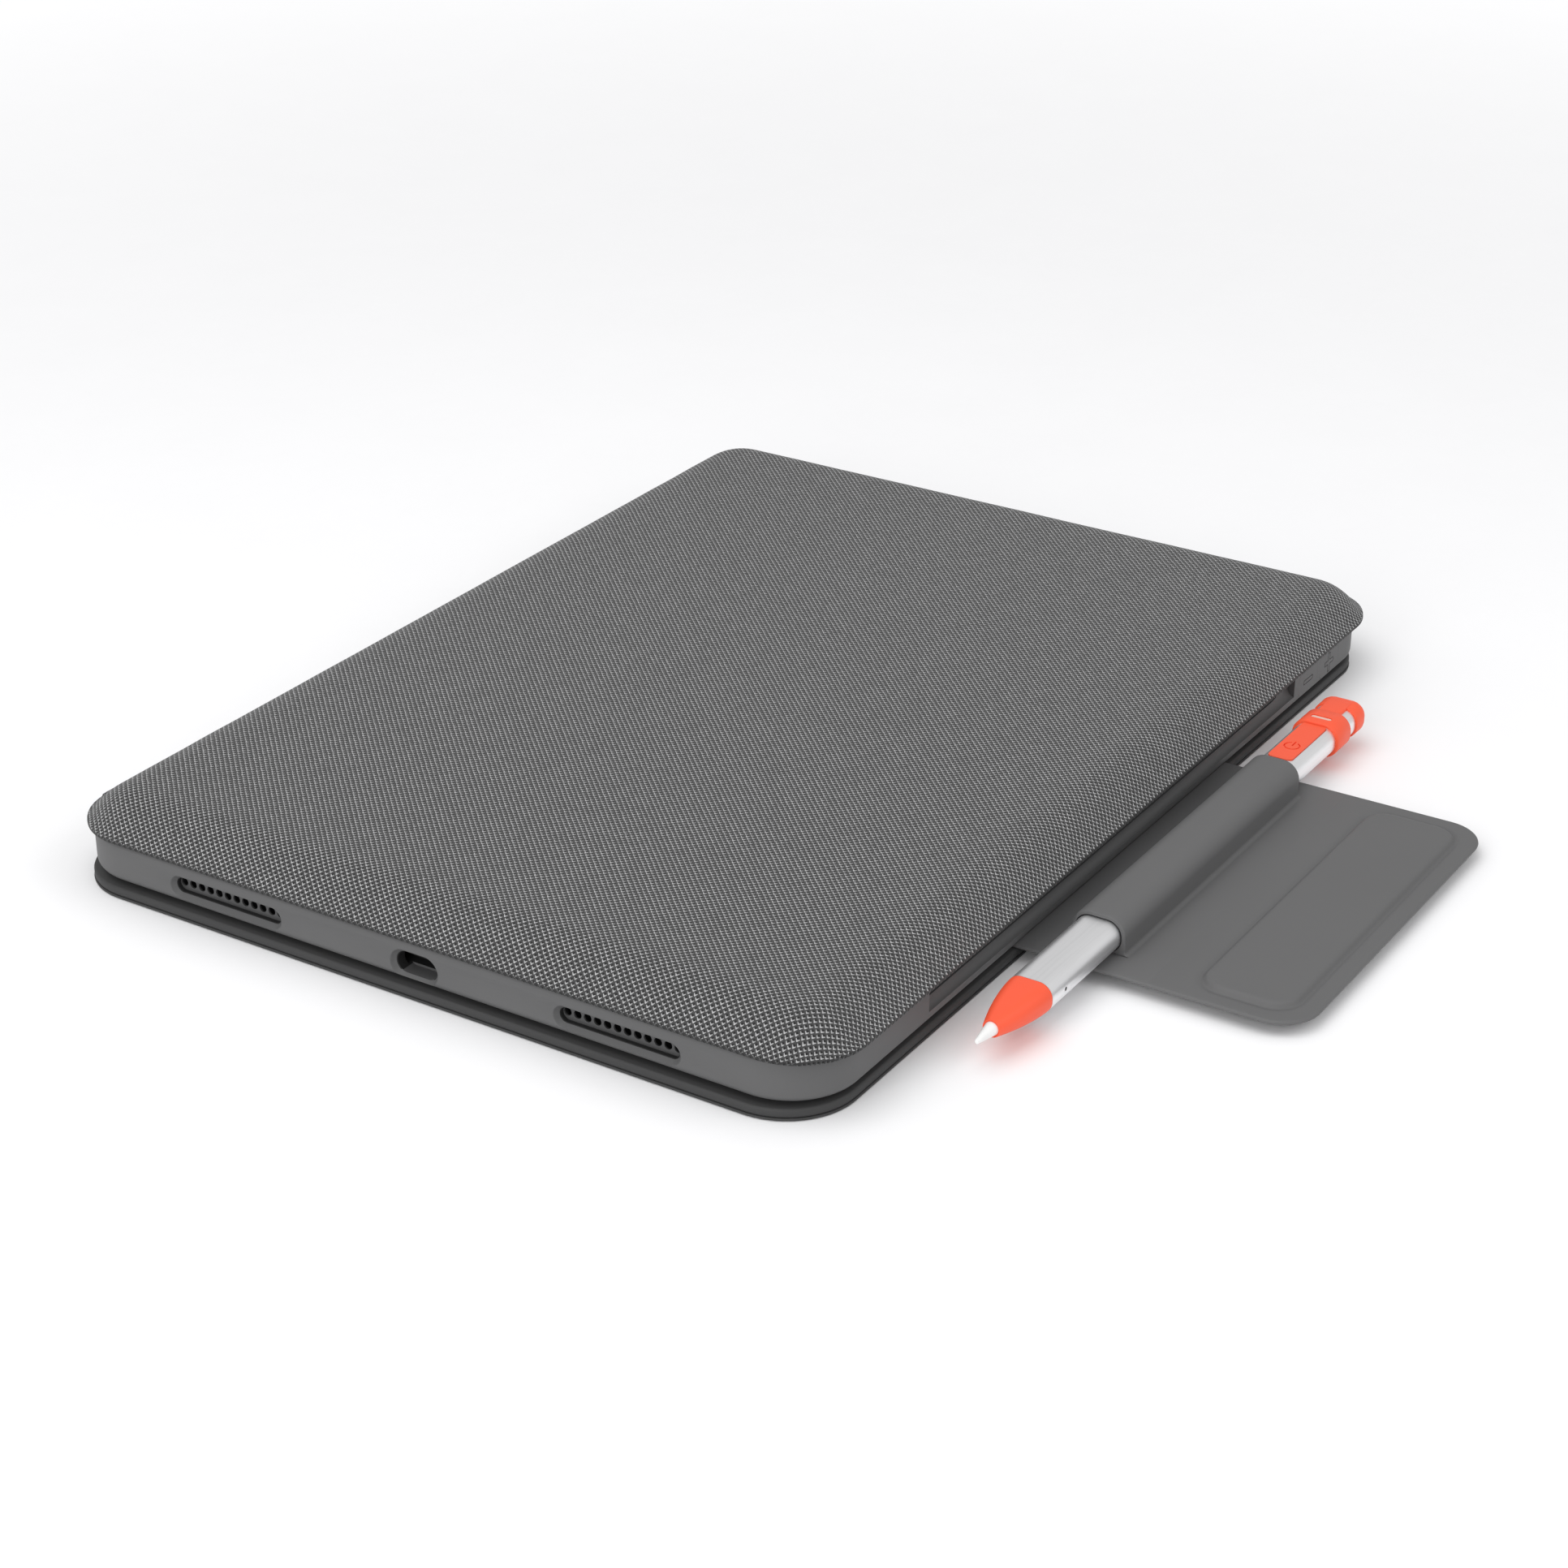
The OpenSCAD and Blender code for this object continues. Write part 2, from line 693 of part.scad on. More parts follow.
module control_board() {
    z = part_z;
    color([0.05, 0.30, 0.16]) union() {
        slab(cover_x - 62, cover_x - 21.5, rear_y0 + 9, rear_y1 - 2, 1, z, 0.8);
        block(cover_x - 50, cover_x - 40, rear_y0 + 14, rear_y0 + 24, z + 0.8, z + 1.7);
        block(cover_x - 36, cover_x - 30, rear_y0 + 16, rear_y0 + 21, z + 0.8, z + 1.5);
    }
}

module battery_cells() {
    l = (2 * cover_x - 62 - 24 - 6) / 2;
    x0 = -cover_x + 22;
    color([0.72, 0.73, 0.75]) for (i = [0, 1])
        slab(x0 + i * (l + 4), x0 + i * (l + 4) + l, rear_y0 + 9, rear_y1 - 2, 1.5, part_z, 2.4);
}

module charge_port() {
    x0 = cover_x - 21;
    x1 = cover_x - 6.4;
    y0 = port_y - port_bezel_w / 2;
    y1 = port_y + port_bezel_w / 2;
    z = port_low + port_bezel_h / 2;
    color([0.5, 0.5, 0.52]) difference() {
        block(x0, x1, y0, y1, port_low, port_low + port_bezel_h);
        translate([x0 + 4, 0, 0]) rotate([90, 0, 90]) linear_extrude(30) difference() {
            pill(port_y - 4.3, port_y + 4.3, z - 1.1, z + 1.1);
            translate([port_y - 3.2, z - 0.3]) square([6.4, 0.6]);
        }
        block(x1 - 1, x1 + 1, port_y - 3.4, port_y + 3.4, z - 0.5, z + 0.5);
    }
}

module status_light() {
    color([0.7, 0.95, 0.75])
        translate([light_x, light_y, cover_z + 0.1]) cylinder(r = 0.75, h = deck_t + 0.6);
}

module deck_magnets() {
    color([0.62, 0.62, 0.64]) for (x = [-62, 0, 62])
        block(x - magnet_l / 2, x + magnet_l / 2, rest_y + 0.3, rest_y + 4.3,
            cover_z + deck_t + 0.1, cover_z + deck_t + 1.8);
}

screw_x = cover_x - 12.5;
screw_places = [
    for (x = [-screw_x, screw_x]) for (y = [field_y0 + 2, field_y1 + 4, rear_y1 - 4]) [x, y]
];

screw_r = 0.7;
screw_bite = 1.4;

module deck_screws() {
    color([0.35, 0.35, 0.37]) for (p = screw_places) translate([p[0], p[1], cover_z + 0.2]) difference() {
        union() {
            cylinder(r = 1.3, h = 0.7);
            cylinder(r = screw_r, h = deck_t + screw_bite - 0.2);
        }
        translate([0, 0, -0.1]) cylinder(r = 0.6, h = 0.5, $fn = 6);
    }
}

// ---- Flap ----

module flap_strip(y0, y1, z, t) {
    block(flap_x0, flap_x0 + flap_l, y0, y1, z, z + t);
}

module flap_anchor() {
    color([0.30, 0.30, 0.31]) flap_strip(root_fold_y + sheet_gap / 2, panel_y0 + root_w, flap_z, flap_t);
}

module flap_sheet() {
    color([0.40, 0.40, 0.41])
        flap_strip(wrap_fold_y + sheet_gap / 2, root_fold_y - sheet_gap / 2, flap_z, flap_t);
}

// Sleeve outline across the pen: a slope on the case side, a round shoulder on the other
function arc(cy, cz, r, a0, a1, n) = [
    for (i = [0 : n]) let (a = a0 + (a1 - a0) * i / n) [cy + r * cos(a), cz + r * sin(a)]
];

sleeve_r = pen_r + pen_gap + sleeve_t;
sleeve_top = pen_z + pen_h / 2 + pen_gap + sleeve_t;

sleeve_outline = concat(
    [[sleeve_out, flap_top]],
    arc(sleeve_out + sleeve_r, sleeve_top - sleeve_r, sleeve_r, 180, 90, 8),
    arc(sleeve_in - 1.6, sleeve_top - sleeve_r, sleeve_r, 90, 42, 4),
    [[root_fold_y - 1.6, flap_top + 0.4], [root_fold_y - 0.9, flap_top]]
);

module pen_section(grow) {
    rrect(pen_y - pen_w / 2 - grow, pen_y + pen_w / 2 + grow,
        pen_z - pen_h / 2 - grow, pen_z + pen_h / 2 + grow, pen_r + grow);
}

module along_x(x0, x1) {
    translate([x0, 0, 0]) rotate([90, 0, 90]) linear_extrude(x1 - x0) children();
}

module pen_sleeve() {
    x0 = -sleeve_l / 2 + flap_x;
    color([0.41, 0.41, 0.42]) along_x(x0, x0 + sleeve_l) difference() {
        polygon(sleeve_outline);
        pen_section(pen_gap);
    }
}

module flap_wrap() {
    color([0.40, 0.40, 0.41])
        flap_strip(tab_fold_y + sheet_gap / 2, wrap_fold_y - sheet_gap / 2, flap_z, flap_t);
}

tab_board_t = 0.9;
tab_in = 4;

module tab_outline(inset, z, t) {
    x0 = flap_x0 + inset;
    x1 = flap_x0 + flap_l - inset;
    y1 = tab_fold_y - sheet_gap / 2 - inset / 3;
    difference() {
        slab(x0, x1, free_y + inset, y1 + 2 * tab_r, tab_r - inset / 2, z, t);
        block(x0 - 1, x1 + 1, y1, y1 + 3 * tab_r, z - 1, z + t + 1);
    }
}

module tab_sheet() {
    color([0.40, 0.40, 0.41]) difference() {
        union() {
            tab_outline(0, flap_z, flap_t);
            tab_outline(tab_in, flap_z, flap_t + pad_h);
        }
        tab_outline(tab_in + 1, flap_z + 0.3, tab_board_t + 0.02);
    }
}

module tab_board() {
    color([0.75, 0.72, 0.66]) difference() {
        tab_outline(tab_in + 1.1, flap_z + 0.31, tab_board_t);
        tab_magnet_places(0.05);
    }
}

module tab_magnet_places(grow) {
    y = (tab_fold_y + free_y) / 2;
    for (x = [-30, 0, 30]) block(flap_x + x - 8 - grow, flap_x + x + 8 + grow,
        y - 3 - grow, y + 3 + grow, flap_z + 0.31 - grow, flap_z + 0.31 + tab_board_t + grow);
}

module tab_magnets() {
    color([0.62, 0.62, 0.64]) tab_magnet_places(0);
}

// ---- Stylus ----

module stylus_barrel() {
    wall = 0.8;
    color([0.78, 0.78, 0.79]) difference() {
        along_x(nose_x, barrel_x1) pen_section(0);
        along_x(nose_x - 1, barrel_x1 + 1) pen_section(-wall);
        button_space(0.1);
        window_space_pen(0.05);
        translate([nose_x + 5.5, pen_y - pen_w / 2 - 1, pen_z]) rotate([-90, 0, 0])
            cylinder(r = 0.45, h = 3);
    }
}

// Cross-section of the nose at a share t of the way from the barrel to the tip
nose_steps = 10;
tip_r = 1.9;
function nose_ring(t) = let (
    k = 1 - pow(t, 1.7),
    a = tip_r + (pen_w / 2 - tip_r) * k,
    b = tip_r + (pen_h / 2 - tip_r) * k,
    r = min(a, b) * (0.9 + 0.09 * t),
    x = nose_x - t * (nose_x - pen_tip_x - tip_l + 2)
) [
    for (p = ring_xy(-a, a, -b, b, r)) [x, pen_y + p[0], pen_z + p[1]]
];

module stylus_nose() {
    color([0.96, 0.36, 0.20]) difference() {
        loft([for (i = [nose_steps : -1 : 0]) nose_ring(i / nose_steps)]);
        translate([nose_x + 1, pen_y, pen_z]) rotate([0, -90, 0])
            cylinder(r = tip_r - 0.35, h = nose_x - pen_tip_x);
    }
}

module stylus_tip() {
    r = tip_r - 0.4;
    neck = 9;
    end_r = 0.55;
    color([0.95, 0.95, 0.95]) translate([pen_tip_x, pen_y, pen_z]) rotate([0, 90, 0]) rotate_extrude()
        polygon(concat(
            [for (i = [0 : 5]) [end_r * sin(15 * i), end_r - end_r * cos(15 * i)]],
            [[r, tip_l - 2], [r, tip_l + neck], [0, tip_l + neck]]
        ));
}

module button_space(grow) {
    h = pen_w / 2 - 2.1;
    slab(button_x0 - grow, ring_x0 + grow, pen_y - h - grow, pen_y + h + grow, 1.2,
        pen_z + pen_h / 2 - 1.2, 3);
}

module window_space_pen(grow) {
    slab(ring_x0 + 2.4 - grow, ring_x0 + 3.6 + grow, pen_y - 2.4 - grow, pen_y + 2.4 + grow, 0.55,
        pen_z + pen_h / 2 - 1.2, 4);
}

// Power sign cut into the button: an open ring and a bar
icon_r = 1.9;
icon_line = 0.36;
icon_t = 0.2;

module stylus_button() {
    color([0.96, 0.36, 0.20]) difference() {
        intersection() {
            button_space(0);
            block(button_x0, ring_x0 - 0.2, pen_y - pen_w, pen_y + pen_w, 0, pen_z + pen_h / 2 + 0.15);
        }
        translate([button_x0 + 7, pen_y, pen_z + pen_h / 2 - icon_t]) {
            difference() {
                cylinder(r = icon_r, h = 1);
                translate([0, 0, -1]) cylinder(r = icon_r - icon_line, h = 3);
                translate([0, -0.7, -1]) cube([4, 1.4, 3]);
            }
            translate([0, -icon_line / 2, 0]) cube([icon_r + 0.4, icon_line, 1]);
        }
    }
}

// Loop strap around the barrel, joined by a bridge to the end cap, whose end steps in to a dome
module stylus_cap() {
    strap = 0.75;
    dome = 3;
    dome_steps = 5;
    end = pen_tip_x + pen_l;
    seat = pen_gap / 10;
    color([0.96, 0.36, 0.20]) difference() {
        union() {
            along_x(ring_x0, ring_x0 + ring_w) pen_section(strap);
            for (i = [0 : dome_steps - 1]) let (a = 90 * i / dome_steps)
                along_x(cap_x0, end - dome + dome * cos(90 - a - 90 / dome_steps))
                    pen_section(0.5 - 2.4 * (1 - cos(a)));
            intersection() {
                along_x(ring_x0 + ring_w - 1, cap_x0 + 1) pen_section(0.5);
                block(ring_x0, cap_x0 + 2, pen_y - 2.6, pen_y + 2.6, pen_z, pen_z + 9);
            }
        }
        along_x(ring_x0 - 1, barrel_x1 + 0.1) pen_section(seat);
        window_space_pen(0.05);
    }
}

module stylus_window() {
    color([0.96, 0.85, 0.80]) intersection() {
        window_space_pen(0);
        block(ring_x0, ring_x0 + ring_w, pen_y - pen_w, pen_y + pen_w, 0, pen_z + pen_h / 2 + 0.55);
    }
}

module stylus_cell() {
    color([0.72, 0.73, 0.75]) translate([nose_x + 22, pen_y, pen_z - 0.3]) rotate([0, 90, 0])
        cylinder(r = pen_h / 2 - 1.2, h = button_x0 - nose_x - 30);
}

back_fabric();
back_board_front();
back_board_rear();
crease_strip();
back_lining();
mount_pad();
holder_frame();
bay_liner();
camera_ring();
dock_magnets();
volume_up_pad();
volume_down_pad();
power_pad();
flap_anchor();
spine_fabric();
spine_board();
spine_lining();
cover_fabric();
cover_hem();
cover_foam();
keyboard_tray();
keyboard_deck();
key_plate();
backlight_sheet();
control_board();
battery_cells();
charge_port();
status_light();
deck_magnets();
deck_screws();
dock_rest();
function_keys();
number_keys();
backspace_key();
tab_key();
upper_keys();
caps_key();
home_keys();
return_key();
left_shift_key();
lower_keys();
right_shift_key();
modifier_keys();
space_bar();
arrow_keys();
flap_sheet();
pen_sleeve();
flap_wrap();
tab_sheet();
tab_board();
tab_magnets();
stylus_barrel();
stylus_nose();
stylus_tip();
stylus_cap();
stylus_button();
stylus_window();
stylus_cell();
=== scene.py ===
import json
import math

import bmesh
import bpy
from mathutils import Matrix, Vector, noise


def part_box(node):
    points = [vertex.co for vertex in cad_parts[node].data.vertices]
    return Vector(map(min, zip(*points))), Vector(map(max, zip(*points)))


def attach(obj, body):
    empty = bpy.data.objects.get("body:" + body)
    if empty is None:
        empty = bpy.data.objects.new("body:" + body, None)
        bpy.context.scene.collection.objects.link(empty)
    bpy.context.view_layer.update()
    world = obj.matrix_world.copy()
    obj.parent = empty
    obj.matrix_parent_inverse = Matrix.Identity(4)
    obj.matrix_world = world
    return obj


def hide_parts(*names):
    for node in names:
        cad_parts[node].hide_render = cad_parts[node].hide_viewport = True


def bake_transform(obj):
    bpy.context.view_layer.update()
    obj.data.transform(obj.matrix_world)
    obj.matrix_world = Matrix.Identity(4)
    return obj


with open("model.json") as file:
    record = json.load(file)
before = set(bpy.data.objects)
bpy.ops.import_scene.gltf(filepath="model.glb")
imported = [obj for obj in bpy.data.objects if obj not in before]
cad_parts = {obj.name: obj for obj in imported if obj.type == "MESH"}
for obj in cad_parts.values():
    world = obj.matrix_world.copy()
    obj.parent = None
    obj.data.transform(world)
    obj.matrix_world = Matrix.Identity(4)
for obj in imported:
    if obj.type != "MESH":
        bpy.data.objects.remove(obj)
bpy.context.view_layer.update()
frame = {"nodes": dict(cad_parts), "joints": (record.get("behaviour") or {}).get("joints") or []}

MM = 0.001

# ---- Sizes, in millimetres, read from the frame or repeated from the design ----


def span(node):
    """Low and high corner of a CAD node in millimetres."""
    low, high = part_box(node)
    return low / MM, high / MM


PANEL_LOW, PANEL_HIGH = span("back_lining")
HOLDER_LOW, HOLDER_HIGH = span("holder_frame")
COVER_LOW, COVER_HIGH = span("cover_fabric")
BAY_LOW, BAY_HIGH = span("bay_liner")
SLEEVE_LOW, SLEEVE_HIGH = span("pen_sleeve")
FLAP_LOW, FLAP_HIGH = span("flap_sheet")
TAB_LOW = span("tab_sheet")[0]
SPINE_LOW, SPINE_HIGH = span("spine_fabric")
BARREL_LOW, BARREL_HIGH = span("stylus_barrel")
CAP_LOW, CAP_HIGH = span("stylus_cap")
RING_LOW, RING_HIGH = span("camera_ring")

TABLET = Vector((247.6, 178.5, 5.9))
TABLET_GAP = 0.3
LIP_REACH = 1.3
PANEL_R = 15.5
HOLDER_R = 15.0
FOOT_INSET = 1.3
CORNER_STEPS = 20
WEAVE_PITCH = Vector((1.46, 1.49))
PEN_Y = (BARREL_LOW.y + BARREL_HIGH.y) / 2
PEN_Z = (BARREL_LOW.z + BARREL_HIGH.z) / 2
PEN_W = BARREL_HIGH.y - BARREL_LOW.y
PEN_H = BARREL_HIGH.z - BARREL_LOW.z
PEN_R = 3.1
PEN_GAP = 0.25
PEN_TIP_X = span("stylus_tip")[0].x
TIP_L = 8.0
TIP_R = 1.9


def fold_line(joint):
    """Where a joint's axis crosses the YZ plane, in millimetres."""
    found = next(j for j in frame["joints"] if j["name"] == joint)
    return Vector(found["pos_m"]) / MM


# ---- Mesh helpers ----


def rounded_outline(x0, x1, y0, y1, r, steps=CORNER_STEPS, straight=1):
    """Points and outward normals around a rounded rectangle, anticlockwise from the lower right corner."""
    found = []
    for cx, cy, start in (
        (x1 - r, y0 + r, -90), (x1 - r, y1 - r, 0), (x0 + r, y1 - r, 90), (x0 + r, y0 + r, 180),
    ):
        for i in range(steps + 1):
            a = math.radians(start + 90 * i / steps)
            n = Vector((math.cos(a), math.sin(a)))
            found.append((Vector((cx, cy)) + r * n, n))
    filled = []
    for i, (p, n) in enumerate(found):
        filled.append((p, n))
        q = found[(i + 1) % len(found)][0]
        if straight > 1 and (i + 1) % (steps + 1) == 0:
            filled += [(p.lerp(q, k / straight), n) for k in range(1, straight)]
    return filled


def at_height(outline, z):
    return [Vector((p.x, p.y, z)) for p, _ in outline]


def smooth(t):
    t = max(0.0, min(1.0, t))
    return t * t * (3 - 2 * t)


def arc(cx, cy, r, start, end, steps):
    """Points along an arc, angles in degrees."""
    return [
        (cx + r * math.cos(math.radians(start + (end - start) * i / steps)),
         cy + r * math.sin(math.radians(start + (end - start) * i / steps)))
        for i in range(steps + 1)
    ]


def loft_mesh(rings, closed=False, ends=True):
    """Skin over rings that have equal numbers of points, in millimetres."""
    n = len(rings[0])
    points = [p * MM for ring in rings for p in ring]
    faces = []
    for i in range(len(rings) - (0 if closed else 1)):
        for j in range(n):
            a, b = i * n, ((i + 1) % len(rings)) * n
            k = (j + 1) % n
            faces.append((a + j, a + k, b + k, b + j))
    if ends and not closed:
        faces.append(tuple(range(n - 1, -1, -1)))
        faces.append(tuple(range((len(rings) - 1) * n, len(rings) * n)))
    return points, faces


def new_object(name, points, faces, sharp=40):
    """Mesh object with outward normals, smooth except across sharp edges."""
    mesh = bpy.data.meshes.new(name)
    mesh.from_pydata([tuple(p) for p in points], [], faces)
    piece = bpy.data.objects.new(name, mesh)
    bpy.context.scene.collection.objects.link(piece)
    tidy_normals(piece, sharp)
    return piece


def tidy_normals(piece, sharp=40):
    """Recalculates normals and marks the edges that turn by more than sharp degrees."""
    mesh = bmesh.new()
    mesh.from_mesh(piece.data)
    bmesh.ops.recalc_face_normals(mesh, faces=mesh.faces)
    for face in mesh.faces:
        face.smooth = True
    for edge in mesh.edges:
        turned = len(edge.link_faces) == 2 and edge.calc_face_angle(0) > math.radians(sharp)
        edge.smooth = not turned
    mesh.to_mesh(piece.data)
    mesh.free()


def finished(piece, material, body, slot, *replaced):
    """Gives a piece its material, its body and the CAD nodes that it stands for. The slot argument is not
    used.
    """
    piece.data.materials.clear()
    piece.data.materials.append(material)
    if body:
        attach(piece, body)
    if replaced:
        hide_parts(*replaced)
    return piece


def second_finish(piece, material, chosen):
    """Gives another material to the faces whose middle and normal pass a test, in millimetres."""
    piece.data.materials.append(material)
    for face in piece.data.polygons:
        if chosen(face.center / MM, face.normal):
            face.material_index = 1


def cut(piece, *cutters):
    """Takes the cutters away from a piece and applies the result."""
    for cutter in cutters:
        step = piece.modifiers.new("cut", "BOOLEAN")
        step.object = cutter
        step.solver = "EXACT"
    apply_modifiers(piece)
    for cutter in cutters:
        bpy.data.objects.remove(cutter)


def apply_modifiers(piece):
    graph = bpy.context.evaluated_depsgraph_get()
    graph.update()
    made = bpy.data.meshes.new_from_object(piece.evaluated_get(graph))
    piece.modifiers.clear()
    piece.data = made


def soften(piece, width, segments=3, angle=35):
    """Rounds a piece's edges with real geometry."""
    step = piece.modifiers.new("rounded edges", "BEVEL")
    step.width = width * MM
    step.segments = segments
    step.limit_method = "ANGLE"
    step.angle_limit = math.radians(angle)
    step.harden_normals = True


def sheet_map(piece, place):
    """Stores where each corner lies on the flat cloth, in millimetres, as the map named weave."""
    layer = piece.data.uv_layers.new(name="weave")
    for loop in piece.data.loops:
        u, v = place(piece.data.vertices[loop.vertex_index].co / MM)
        layer.data[loop.index].uv = (u, v)


def plan_map(piece):
    sheet_map(piece, lambda p: (p.x, p.y))


def along_x(outline, x0, x1, edge=0.0, centre=None):
    """Rings of a YZ outline extruded along X, with both ends rounded in by edge millimetres."""
    middle = centre or Vector((sum(p[0] for p in outline), sum(p[1] for p in outline))) / len(outline)
    rings = []
    for x, side in ((x0, 1), (x1, -1)):
        turns = [0, 30, 60, 90] if edge else [90]
        part = []
        for turn in turns:
            a = math.radians(turn)
            inset = edge * (1 - math.sin(a))
            part.append([
                Vector((x + side * edge * (1 - math.cos(a)), *shrunk(q, middle, inset))) for q in outline
            ])
        rings += part if side == 1 else part[::-1]
    return rings


def shrunk(point, middle, inset):
    v = Vector(point)
    d = middle - v
    return v + d.normalized() * inset if inset and d.length > inset else v


# ---- Shared surface effects ----


def add_node(tree, kind, **values):
    node = tree.nodes.new(kind)
    for key, value in values.items():
        setattr(node, key, value)
    return node


def maths(tree, operation, a, b=None, c=None, clamp=False):
    """A Math node whose inputs are sockets or numbers."""
    node = add_node(tree, "ShaderNodeMath", operation=operation, use_clamp=clamp)
    for i, value in enumerate((a, b, c)):
        if isinstance(value, bpy.types.NodeSocket):
            tree.links.new(value, node.inputs[i])
        elif value is not None:
            node.inputs[i].default_value = value
    return node.outputs[0]


def blend_colour(tree, share, a, b):
    node = add_node(tree, "ShaderNodeMix", data_type="RGBA")
    for socket, value in ((node.inputs[0], share), (node.inputs[6], a), (node.inputs[7], b)):
        if isinstance(value, bpy.types.NodeSocket):
            tree.links.new(value, socket)
        else:
            socket.default_value = value
    return node.outputs[2]


def new_group(name, inputs, outputs):
    tree = bpy.data.node_groups.new(name, "ShaderNodeTree")
    for label, kind, value in inputs:
        socket = tree.interface.new_socket(label, in_out="INPUT", socket_type=kind)
        if value is not None:
            socket.default_value = value
    for label, kind in outputs:
        tree.interface.new_socket(label, in_out="OUTPUT", socket_type=kind)
    return tree, tree.nodes.new("NodeGroupInput"), tree.nodes.new("NodeGroupOutput")


def soft_step(tree, value, low, high):
    """0 below low, 1 above high, smooth between."""
    node = add_node(tree, "ShaderNodeMapRange", interpolation_type="SMOOTHSTEP")
    tree.links.new(value, node.inputs[0])
    node.inputs[1].default_value = low
    node.inputs[2].default_value = high
    return node.outputs[0]


def weave_group():
    """Two-tone cloth: light angled floats on dark yarn, one in each square of a diagonal grid, with painted
    shade in the pits between the floats.
    """
    tree, given, out = new_group(
        "two tone weave",
        [("Yarn", "NodeSocketColor", None), ("Float", "NodeSocketColor", None),
         ("Gap", "NodeSocketColor", None)],
        [("Color", "NodeSocketColor"), ("Height", "NodeSocketFloat"), ("Float mask", "NodeSocketFloat")],
    )
    cloth = add_node(tree, "ShaderNodeUVMap", uv_map="weave")
    wander = add_node(tree, "ShaderNodeTexNoise", noise_dimensions="2D")
    wander.inputs["Scale"].default_value = 0.55
    wander.inputs["Detail"].default_value = 1.0
    tree.links.new(cloth.outputs[0], wander.inputs["Vector"])
    split = add_node(tree, "ShaderNodeSeparateXYZ")
    tree.links.new(cloth.outputs[0], split.inputs[0])
    drift = maths(tree, "MULTIPLY_ADD", wander.outputs[0], 0.22, -0.11)
    across = maths(tree, "MULTIPLY_ADD", split.outputs[0], 1 / WEAVE_PITCH.x, drift)
    along = maths(tree, "MULTIPLY_ADD", split.outputs[1], 1 / WEAVE_PITCH.y, 0.37)
    p_line = maths(tree, "ADD", across, along)
    q_line = maths(tree, "SUBTRACT", across, along)
    p = maths(tree, "FRACT", p_line)
    q = maths(tree, "FRACT", q_line)
    cell = add_node(tree, "ShaderNodeCombineXYZ")
    tree.links.new(maths(tree, "FLOOR", p_line), cell.inputs[0])
    tree.links.new(maths(tree, "FLOOR", q_line), cell.inputs[1])
    chance = add_node(tree, "ShaderNodeTexWhiteNoise", noise_dimensions="2D")
    tree.links.new(cell.outputs[0], chance.inputs["Vector"])

    def bar(length_way, width_way, centre, reach):
        """A float that narrows towards its end."""
        run = maths(tree, "SUBTRACT", length_way, 0.10)
        taper = maths(tree, "MULTIPLY_ADD", run, -0.15, 0.165)
        off = maths(tree, "ABSOLUTE", maths(tree, "SUBTRACT", width_way, centre))
        inside = soft_step(tree, maths(tree, "SUBTRACT", taper, off), -0.05, 0.05)
        started = soft_step(tree, length_way, 0.04, 0.13)
        ended = soft_step(tree, maths(tree, "SUBTRACT", reach, length_way), -0.06, 0.08)
        return maths(tree, "MULTIPLY", inside, maths(tree, "MULTIPLY", started, ended))

    reach = maths(tree, "MULTIPLY_ADD", chance.outputs[0], 0.14, 0.72)
    one = bar(p, q, 0.25, reach)
    other = bar(q, p, 0.25, reach)
    floats = maths(tree, "MAXIMUM", one, other)
    dp = maths(tree, "SUBTRACT", p, 0.60)
    dq = maths(tree, "SUBTRACT", q, 0.60)
    far = maths(tree, "SQRT", maths(tree, "ADD", maths(tree, "MULTIPLY", dp, dp),
                                    maths(tree, "MULTIPLY", dq, dq)))
    # Painted shade: the pit between the floats takes the darker third colour, and the same mask also dips the
    # bump.
    pit_dip_and_shade = soft_step(tree, far, 0.34, 0.10)
    pit_dip_and_shade = maths(tree, "MULTIPLY", pit_dip_and_shade, maths(tree, "SUBTRACT", 1.0, floats))
    fibre = add_node(tree, "ShaderNodeTexNoise", noise_dimensions="2D")
    fibre.inputs["Scale"].default_value = 7.0
    fibre.inputs["Detail"].default_value = 2.0
    tree.links.new(cloth.outputs[0], fibre.inputs["Vector"])
    fuzz = maths(tree, "MULTIPLY_ADD", fibre.outputs[0], 0.7, 0.65)
    strength = maths(tree, "MULTIPLY_ADD", chance.outputs[0], 0.28, 0.72)
    yarn = blend_colour(tree, pit_dip_and_shade, given.outputs[0], given.outputs[2])
    woven = blend_colour(tree, maths(tree, "MULTIPLY", floats, strength), yarn, given.outputs[1])
    shaded = add_node(tree, "ShaderNodeVectorMath", operation="SCALE")
    tree.links.new(woven, shaded.inputs[0])
    tree.links.new(fuzz, shaded.inputs["Scale"])
    tree.links.new(shaded.outputs[0], out.inputs["Color"])
    rise = maths(tree, "SUBTRACT", maths(tree, "MULTIPLY", floats, 0.8), maths(tree, "MULTIPLY", pit_dip_and_shade, 0.8))
    tree.links.new(maths(tree, "MULTIPLY_ADD", fibre.outputs[0], 0.25, rise), out.inputs["Height"])
    tree.links.new(floats, out.inputs["Float mask"])
    return tree


